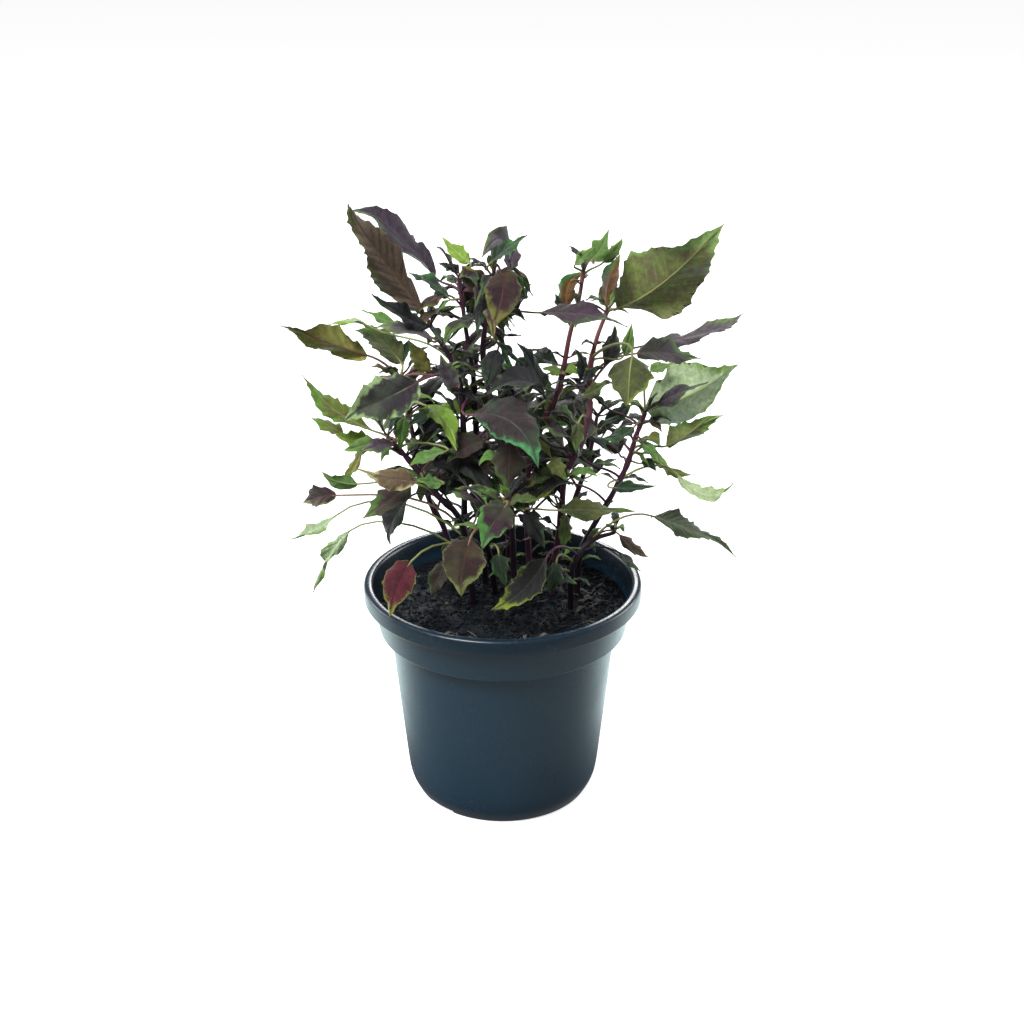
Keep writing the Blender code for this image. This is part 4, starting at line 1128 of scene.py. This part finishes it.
class Blade:
    """How one blade is toothed, folded, curled, twisted, hooked and ruffled."""

    def __init__(self, leaf, draw):
        self.leaf = leaf
        self.length = (leaf.tip - leaf.base).length
        self.teeth = max(3, round(self.length / TOOTH_PITCH))
        self.lobes = 2 + (leaf.width > TINY_BLADE) + (leaf.width > SMALL_BLADE)
        self.columns = SHORT_COLUMNS if self.length <= SHORT_BLADE else COLUMNS
        self.sizes = [[draw.uniform(*TOOTH_SIZES) for _ in range(self.teeth)] for _ in range(2)]
        self.fold = BLADE_FOLD + draw.uniform(0.0, CREASE)
        self.curl = draw.uniform(0.0, CURL)
        self.bare = BARE_SIDES.get(leaf.look) or draw.choice((-1, 0, 1))
        self.mood = draw.random()
        self.twist = draw.uniform(-TWIST, TWIST)
        self.hook = draw.uniform(-HOOK, HOOK) * self.length
        self.waves = [(draw.uniform(*RUFFLE_RATES), draw.uniform(0, 2 * math.pi)) for _ in range(2)]

    def lobe(self, u):
        """The swelling of the edge at u, from -1 between two lobes to 1 on one."""
        beat = u * self.lobes % 1.0
        beat = beat / LOBE_PEAK / 2 if beat < LOBE_PEAK else 1 - (1 - beat) / (1 - LOBE_PEAK) / 2
        return -math.cos(2 * math.pi * beat)

    def reach(self, edge_u, side, tooth, point):
        """How far out the edge is, where its teeth are cut to this point from 0 to 1."""
        half = half_width(self.leaf, edge_u)
        depth = TOOTH_DEPTH * self.length / self.teeth
        cut = depth * self.sizes[side > 0][tooth] * (point - TOOTH_MIDDLE) * min(1.0, half / (2 * depth))
        cut *= min(1.0, SMOOTH_BASE * edge_u)
        return max(half * (1 + LOBE * self.lobe(edge_u)) + cut, LEAST_REACH)

    def lift(self, edge_u, side, s, out, rib):
        """How far above the midrib the blade is at this share s of the way out."""
        lift = self.fold * (math.hypot(out, CREASE_WIDTH) - CREASE_WIDTH) - self.curl * out * s**2
        lift += BLADE_WAVE * self.length * self.lobe(edge_u) * (1 - edge_u) * s**2
        quilt = QUILTING * self.length / self.teeth * abs(math.sin(math.pi * rib)) ** 0.8
        lift += quilt * 4 * s * (1.05 - s)
        rate, start = self.waves[side > 0]
        ruffle = RUFFLE * self.length * math.sin(rate * edge_u + start)
        return lift + ruffle * s**2 * min(1.0, 3 * (1 - edge_u))

    def spot(self, edge_u, side, s, reach):
        """A point of the blade's middle layer, the way up from it, and its marks."""
        u = edge_u - VEIN_SWEEP * 4 * edge_u * (1 - edge_u) * (1 - s)
        rib = edge_u * self.teeth - TOOTH_PEAK
        middle, along = midrib(self.leaf, u)
        across, up = across_and_up(self.leaf, along)
        turn = self.twist * (u - TWIST_MIDDLE)
        cos, sin = math.cos(turn), math.sin(turn)
        across, up = cos * across + sin * up, cos * up - sin * across
        middle += self.hook * (max(u - HOOK_START, 0.0) / (1 - HOOK_START)) ** 2 * across
        out = s * reach
        place = middle + side * out * across + self.lift(edge_u, side, s, out, rib) * up
        grown = max(1.0, FULL_LENGTH / self.length)
        inset = (1 - s) * reach / MM * grown + BARE * (side == self.bare)
        return place, up, (u, inset, rib, out / MM * grown, self.mood)


class Growth:
    """The points, faces and marks of one leafy stem as it grows."""

    def __init__(self):
        self.points = []
        self.faces = []
        self.looks = []
        self.marks = []

    def point(self, place, *marks):
        self.points.append(place)
        self.marks.append(marks)
        return len(self.points) - 1

    def cover(self, faces, look, order=1):
        self.faces += [tuple(face)[::order] for face in faces]
        self.looks += [look] * len(faces)

    def tube(self, route, radii, tones, sides, squareness=0.0):
        """A closed tube along the route, with a rounded square section if asked."""
        across = (route[1] - route[0]).orthogonal()
        rings = []
        for i, (place, radius, tone) in enumerate(zip(route, radii, tones)):
            along = (route[min(i + 1, len(route) - 1)] - route[max(i - 1, 0)]).normalized()
            across = (across - along * across.dot(along)).normalized()
            over = along.cross(across)
            rings.append([])
            for k in range(sides):
                turn = 2 * math.pi * k / sides
                reach = radius * (1 + squareness * math.cos(4 * turn))
                way = math.cos(turn) * across + math.sin(turn) * over
                rings[-1].append(self.point(place + reach * way, i / len(route), 0.0, 0.0, 0.0, tone))
        self.cover([rings[0][::-1]], "stem")
        for below, ring in zip(rings, rings[1:]):
            self.cover(band(below, ring), "stem")
        self.cover([rings[-1]], "stem")

    def stem(self, name, roots):
        """The main stem, swollen where leaves stand on it, and darker lower down."""
        route = stem_route(name, FINE_STEPS)
        count = len(route) - 1
        radii, tones = [], []
        for i, place in enumerate(route):
            radius = STEM_RADIUS + (STEM_TOP_RADIUS - STEM_RADIUS) * (i / count) ** STEM_TAPER
            near = min([(place - root).length for root in roots] + [1.0])
            radii.append(radius * (BARE_STEM + JOINT_SWELLING * math.exp(-((near / JOINT_SIZE) ** 2))))
            low = (LOWER_STEM[1] - i / count) / (LOWER_STEM[1] - LOWER_STEM[0])
            tones.append(STEMS[name][0] + LOWER_STEM_TONE * min(1.0, max(0.0, low)))
        self.tube(route, radii, tones, STEM_SIDES, SQUARENESS)

    def stalk(self, leaf):
        """The petiole, stouter under a wide blade, which runs on under the blade as its midrib."""
        radius = PETIOLE_RADIUS * (PETIOLE_LEAST + PETIOLE_GAIN * min(leaf.width / WIDE_BLADE, 2.0))
        route = petiole_points(leaf)
        radii = [radius * (PETIOLE_FOOT - PETIOLE_TAPER * i / PETIOLE_STEPS) for i in range(PETIOLE_STEPS)]
        for i in range(MIDRIB_STEPS + 1):
            u = i / MIDRIB_STEPS * MIDRIB_END
            place, along = midrib(leaf, u)
            thin = radius * MIDRIB_SHARE * (1 - u) ** MIDRIB_THINNING + MIDRIB_TIP_RADIUS
            sink = MIDRIB_SINK * thin * min(1.0, 4 * u)
            route.append(place - across_and_up(leaf, along)[1] * sink)
            radii.append(thin)
        self.tube(route, radii, [leaf.tone] * len(route), STALK_SIDES)

    def blade(self, blade):
        """A thin closed blade whose rows of points run out along its side veins to its teeth."""
        leaf = blade.leaf
        sheets = [[], []]
        rows = list(product(range(blade.teeth), TOOTH_ROWS.items()))
        for tooth, (phase, point) in rows[1:]:
            edge_u = (tooth + phase) / blade.teeth
            left, right = [blade.reach(edge_u, side, tooth, point) for side in (-1, 1)]
            row = [(-1, s, left) for s in reversed(blade.columns)] + [(1, 0.0, 0.0)]
            row += [(1, s, right) for s in blade.columns]
            for sheet in sheets:
                sheet.append([])
            for side, s, reach in row:
                place, up, marks = blade.spot(edge_u, side, s, reach)
                thick = SKIN_THICKNESS / 2 * (1 - s**4)
                top = self.point(place + thick * up, *marks)
                sheets[0][-1].append(top)
                sheets[1][-1].append(top if s == 1.0 else self.point(place - thick * up, *marks))
        across = across_and_up(leaf, midrib(leaf, 1.0)[1])[0]
        ends = [leaf.base, leaf.tip + blade.hook * across]
        ends = [self.point(place, float(u), 0.0, 0.5, 0.0, blade.mood) for u, place in enumerate(ends)]
        for sheet, look, order in zip(sheets, (leaf.look, leaf.under), (1, -1)):
            for low, high in zip(sheet, sheet[1:]):
                self.cover(band(low, high)[:-1], look, order)
            first, last = sheet[0], sheet[-1]
            for k in range(len(first) - 1):
                self.cover([(ends[0], first[k + 1], first[k]), (last[k], last[k + 1], ends[1])], look, order)


def leaf_skin(name, heart, patch, edge, vein, margin, flare):
    """A blade's colours: a mottled middle, the veins, and a margin that widens to the tip."""
    made, tree = new_material("coleus_blade_" + name)
    marks = [add(tree, "Attribute", output="Fac", attribute_name=key) for key in MARKS]
    along, inset, rib, spread, mood = marks
    patches, cloud, flecks, fine = mottling(tree, BLADE_GRAINS)
    between = add(tree, "Math", [rib, 0.5], operation="PINGPONG")
    side_vein = add(tree, "MapRange", [between, 0.02, 0.1, 0.45, 0.0], **EASED)
    side_vein = weighed(tree, 0.0, (side_vein, add(tree, "MapRange", [inset, 0.3, 2.5], **EASED)))
    main_vein = add(tree, "MapRange", [spread, 0.25, 0.8, 1.0, 0.0], **EASED)
    veins = add(tree, "Math", [side_vein, main_vein], operation="MAXIMUM")
    cells = add(tree, "TexVoronoi", {"Scale": VEIN_NET}, "Distance", feature="DISTANCE_TO_EDGE")

    # How deep inside the margin each point lies, in millimetres. The patterns make the margin ragged,
    # each by its weight and about its middle value.
    ragged = ((patches, 7.0 * margin + 3.0, 0.45), (cloud, 4.0, 0.5), (flecks, 5.0, 0.5), (fine, 2.0, 0.5))
    start = -margin - sum(weight * middle for _, weight, middle in ragged)
    flaring = add(tree, "Math", [along, 5.0], operation="POWER")
    depth = weighed(
        tree,
        start,
        (inset, 1.0),
        *[(pattern, weight) for pattern, weight, _ in ragged],
        (between, -1.2 * margin),
        (flaring, -float(flare)),
    )

    colour = painted(
        tree,
        linear(heart),
        (add(tree, "MapRange", [cloud, 0.35, 0.62], **EASED), patch),
        (add(tree, "MapRange", [cells, 0.02, 0.16, 0.25, 0.0], **EASED), vein),
        (add(tree, "MapRange", [patches, 0.42, 0.7, 0.0, 0.18 if margin else 0.0], **EASED), edge),
        (add(tree, "MapRange", [depth, -1.1, 1.3, 1.0, 0.0], **EASED), edge),
        # A thin pale line along the very edge, in the margin's colour: a painted highlight.
        (add(tree, "MapRange", [inset, 0.05, 0.35, 0.5, 0.0], **EASED), edge),
        (weighed(tree, 0.0, (veins, 0.6)), vein),
    )
    shade = add(tree, "MapRange", [flecks, 0.25, 0.75, 0.7, 1.2], **EASED)
    hue = add(tree, "MapRange", [mood, 0.0, 1.0, 0.49, 0.51], **EASED)
    pebbles = add(tree, "MapRange", [cells, 0.0, 0.4, 0.0, 0.8], **EASED)
    height = weighed(tree, pebbles, (fine, 0.4), (veins, -1.0))
    return finished(
        made,
        Base_Color=add(tree, "HueSaturation", {"Hue": hue, "Value": shade, "Color": colour}),
        Roughness=add(tree, "MapRange", [cloud, 0.3, 0.7, 0.3, 0.5], **EASED),
        IOR=1.42,
        Normal=add(tree, "Bump", {"Height": height, "Strength": 0.7, "Distance": 0.0003}),
        Sheen_Weight=0.12,
        Sheen_Roughness=0.4,
    )


def stem_skin():
    """The stems and stalks, from fresh green through pink to dark purple by their tone."""
    made, tree = new_material("coleus_stem")
    (streak,) = mottling(tree, STEM_GRAINS)
    mood = add(tree, "Attribute", output="Fac", attribute_name="mood")
    tone = weighed(tree, -0.125, (mood, 1.0), (streak, 0.25))
    green = ("8d9c5c", (0.2, "867a52"), (0.4, "7a4a4c"))
    purple = ((0.62, "5c3346"), (0.82, "3a2234"), (1.0, "1f1621"))
    return finished(
        made,
        Base_Color=toned(tree, tone, *green, *purple),
        Roughness=0.45,
        IOR=1.42,
        Normal=add(tree, "Bump", {"Height": streak, "Strength": 0.4, "Distance": 0.0003}),
    )


def make_leafy_stems():
    routes = {name: stem_route(name, STEM_STEPS) for name in STEMS}
    wanted = {stem: [front_leaf(routes[stem], *row) for row in LEAVES.get(stem, [])] for stem in STEMS}
    for stem, leaf in rule_leaves(routes):
        wanted[stem].append(leaf)
    skins = {name: leaf_skin(name, *values[:-1]) for name, values in SKINS.items()}
    skins["stem"] = stem_skin()
    for stem in STEMS:
        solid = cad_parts[stem]
        corners = [vertex.co for vertex in solid.data.vertices]
        tree = BVHTree.FromPolygons(corners, [side.vertices for side in solid.data.polygons])
        leaves = [placed_leaf(leaf, tree) for leaf in wanted[stem]]
        leaves = [leaf for leaf in leaves if leaf]
        draw = random.Random(stem)
        growth = Growth()
        growth.stem(stem, [leaf.root for leaf in leaves])
        for leaf in leaves + list(shoot_leaves(routes[stem], draw)):
            growth.stalk(leaf)
            growth.blade(Blade(leaf, draw))
        used = sorted(set(growth.looks))
        slots = [used.index(look) for look in growth.looks]
        looks = [skins[look] for look in used]
        piece = mesh_piece("leafy_" + stem, growth.points, growth.faces, looks, slots, BLADE_CREASE)
        for key, values in zip(MARKS, zip(*growth.marks)):
            piece.data.attributes.new(key, "FLOAT", "POINT").data.foreach_set("value", values)
        finish_piece(piece, "coleus_leaf", stem)


make_leafy_stems()


# Studio
# A plain pale floor under broad soft light, as for a catalogue picture, with hardly any shadow. A
# second ring of floor shows only in the gloss of the pot: dim in front, bright at the sides and behind.

CAMERA_PITCH = 90 - 22.99
LENS = 55.65
SENSOR = 36
FLOOR_RADIUS = 9.0
FLOOR_STEPS = 64
FLOOR_GLOW = 0.7
AMBIENT = 0.27
WHITE = (1.0, 1.0, 1.0, 1.0)
PAPER = (0.9, 0.9, 0.9, 1.0)

# The mirrored ring, in metres: how far out it fades in, and between which places along Y it brightens
# in front of the pot and beside it
MIRROR_INNER = (0.050, 0.120)
MIRROR_RADIUS = 3.0
MIRROR_DROP = 0.001
MIRROR_FRONT = (-0.25, -0.19)
MIRROR_SIDES = (-0.05, 0.12)
MIRROR_TINT = (0.86, 1.08, 1.08, 1.0)
FRONT_GLOW = 0.36
BACK_GLOW = 1.75

# Soft round lights: place, width in metres and power in watts, all turned to the plant's middle
LIGHTS = {
    "key": ((-0.7, -0.8, 1.5), 0.8, 38),
    "left": ((-1.3, 0.7, 0.6), 0.9, 9),
    "right": ((1.3, 0.6, 0.6), 0.9, 12),
    "back": ((0.1, 1.6, 0.85), 0.5, 9),
}
LIT_POINT = Vector((0.0, 0.0, 0.16))


def matt(paper, tint, glow):
    """The paper made pale and nearly without gloss, with a glow of its own."""
    shine = {"Specular_IOR_Level": 0.1, "Emission_Color": tint, "Emission_Strength": glow}
    return finished(paper, Base_Color=PAPER, Roughness=0.9, IOR=1.46, **shine)


def shown_paper():
    paper, _ = new_material("pale_floor_paper")
    return matt(paper, WHITE, FLOOR_GLOW)


def mirrored_paper():
    """The floor as the pot's sides mirror it: dim in front, bright at the sides and behind."""
    paper, tree = new_material("mirrored_floor_paper")
    place = add(tree, "TexCoord", output="Object")
    back = add(tree, "SeparateXYZ", [place], "Y")
    out = add(tree, "VectorMath", [place], "Value", operation="LENGTH")
    front = add(tree, "MapRange", [back, *MIRROR_FRONT, 0.0, FRONT_GLOW], **EASED)
    behind = add(tree, "MapRange", [back, *MIRROR_SIDES, 0.0, BACK_GLOW - FRONT_GLOW], **EASED)
    fade = add(tree, "MapRange", [out, *MIRROR_INNER], **EASED)
    glow = weighed(tree, front, (behind, 1.0))
    return matt(paper, MIRROR_TINT, weighed(tree, 0.0, (glow, fade)))


def make_floor(name, inner, outer, height, paper):
    """A flat ring round the pot that casts no light of its own on the plant."""
    points = []
    for reach, k in product((outer, inner), range(FLOOR_STEPS)):
        points.append(reach * heading(2 * math.pi * k / FLOOR_STEPS) + height * UP)
    faces = band(numbers(0, FLOOR_STEPS), numbers(FLOOR_STEPS, FLOOR_STEPS))
    made = mesh_piece(name, points, faces, [paper])
    made.visible_diffuse = False
    return made


def make_floors():
    make_floor("floor", 0.0, FLOOR_RADIUS, 0.0, shown_paper()).visible_glossy = False
    ring = (MIRROR_INNER[0], MIRROR_RADIUS, -MIRROR_DROP)
    make_floor("mirrored_floor", *ring, mirrored_paper()).visible_camera = False


def make_world():
    """An even pale surround: white where the camera sees it, and dimmer as light."""
    world = bpy.data.worlds.new("studio")
    bpy.context.scene.world = world
    world.use_nodes = True
    tree = world.node_tree
    in_view = add(tree, "LightPath", output="Is Camera Ray")
    strength = add(tree, "MapRange", [in_view, 0.0, 1.0, AMBIENT, 1.0], **EASED)
    fill(tree, tree.nodes["Background"], {"Color": WHITE, "Strength": strength})


def make_lights():
    for name, (place, size, power) in LIGHTS.items():
        light = bpy.data.lights.new(name, "AREA")
        light.shape = "DISK"
        light.size = size
        light.energy = power
        made = bpy.data.objects.new(name, light)
        made.location = place
        made.rotation_euler = (LIT_POINT - Vector(place)).to_track_quat("-Z", "Y").to_euler()
        bpy.context.scene.collection.objects.link(made)


def make_camera():
    lens = bpy.data.cameras.new("camera")
    lens.lens = LENS
    lens.sensor_width = SENSOR
    made = bpy.data.objects.new("camera", lens)
    made.location = EYE
    made.rotation_euler = (math.radians(CAMERA_PITCH), 0.0, 0.0)
    bpy.context.scene.collection.objects.link(made)
    bpy.context.scene.camera = made
    bpy.context.scene.view_settings.view_transform = "Standard"


make_floors()
make_world()
make_lights()
make_camera()
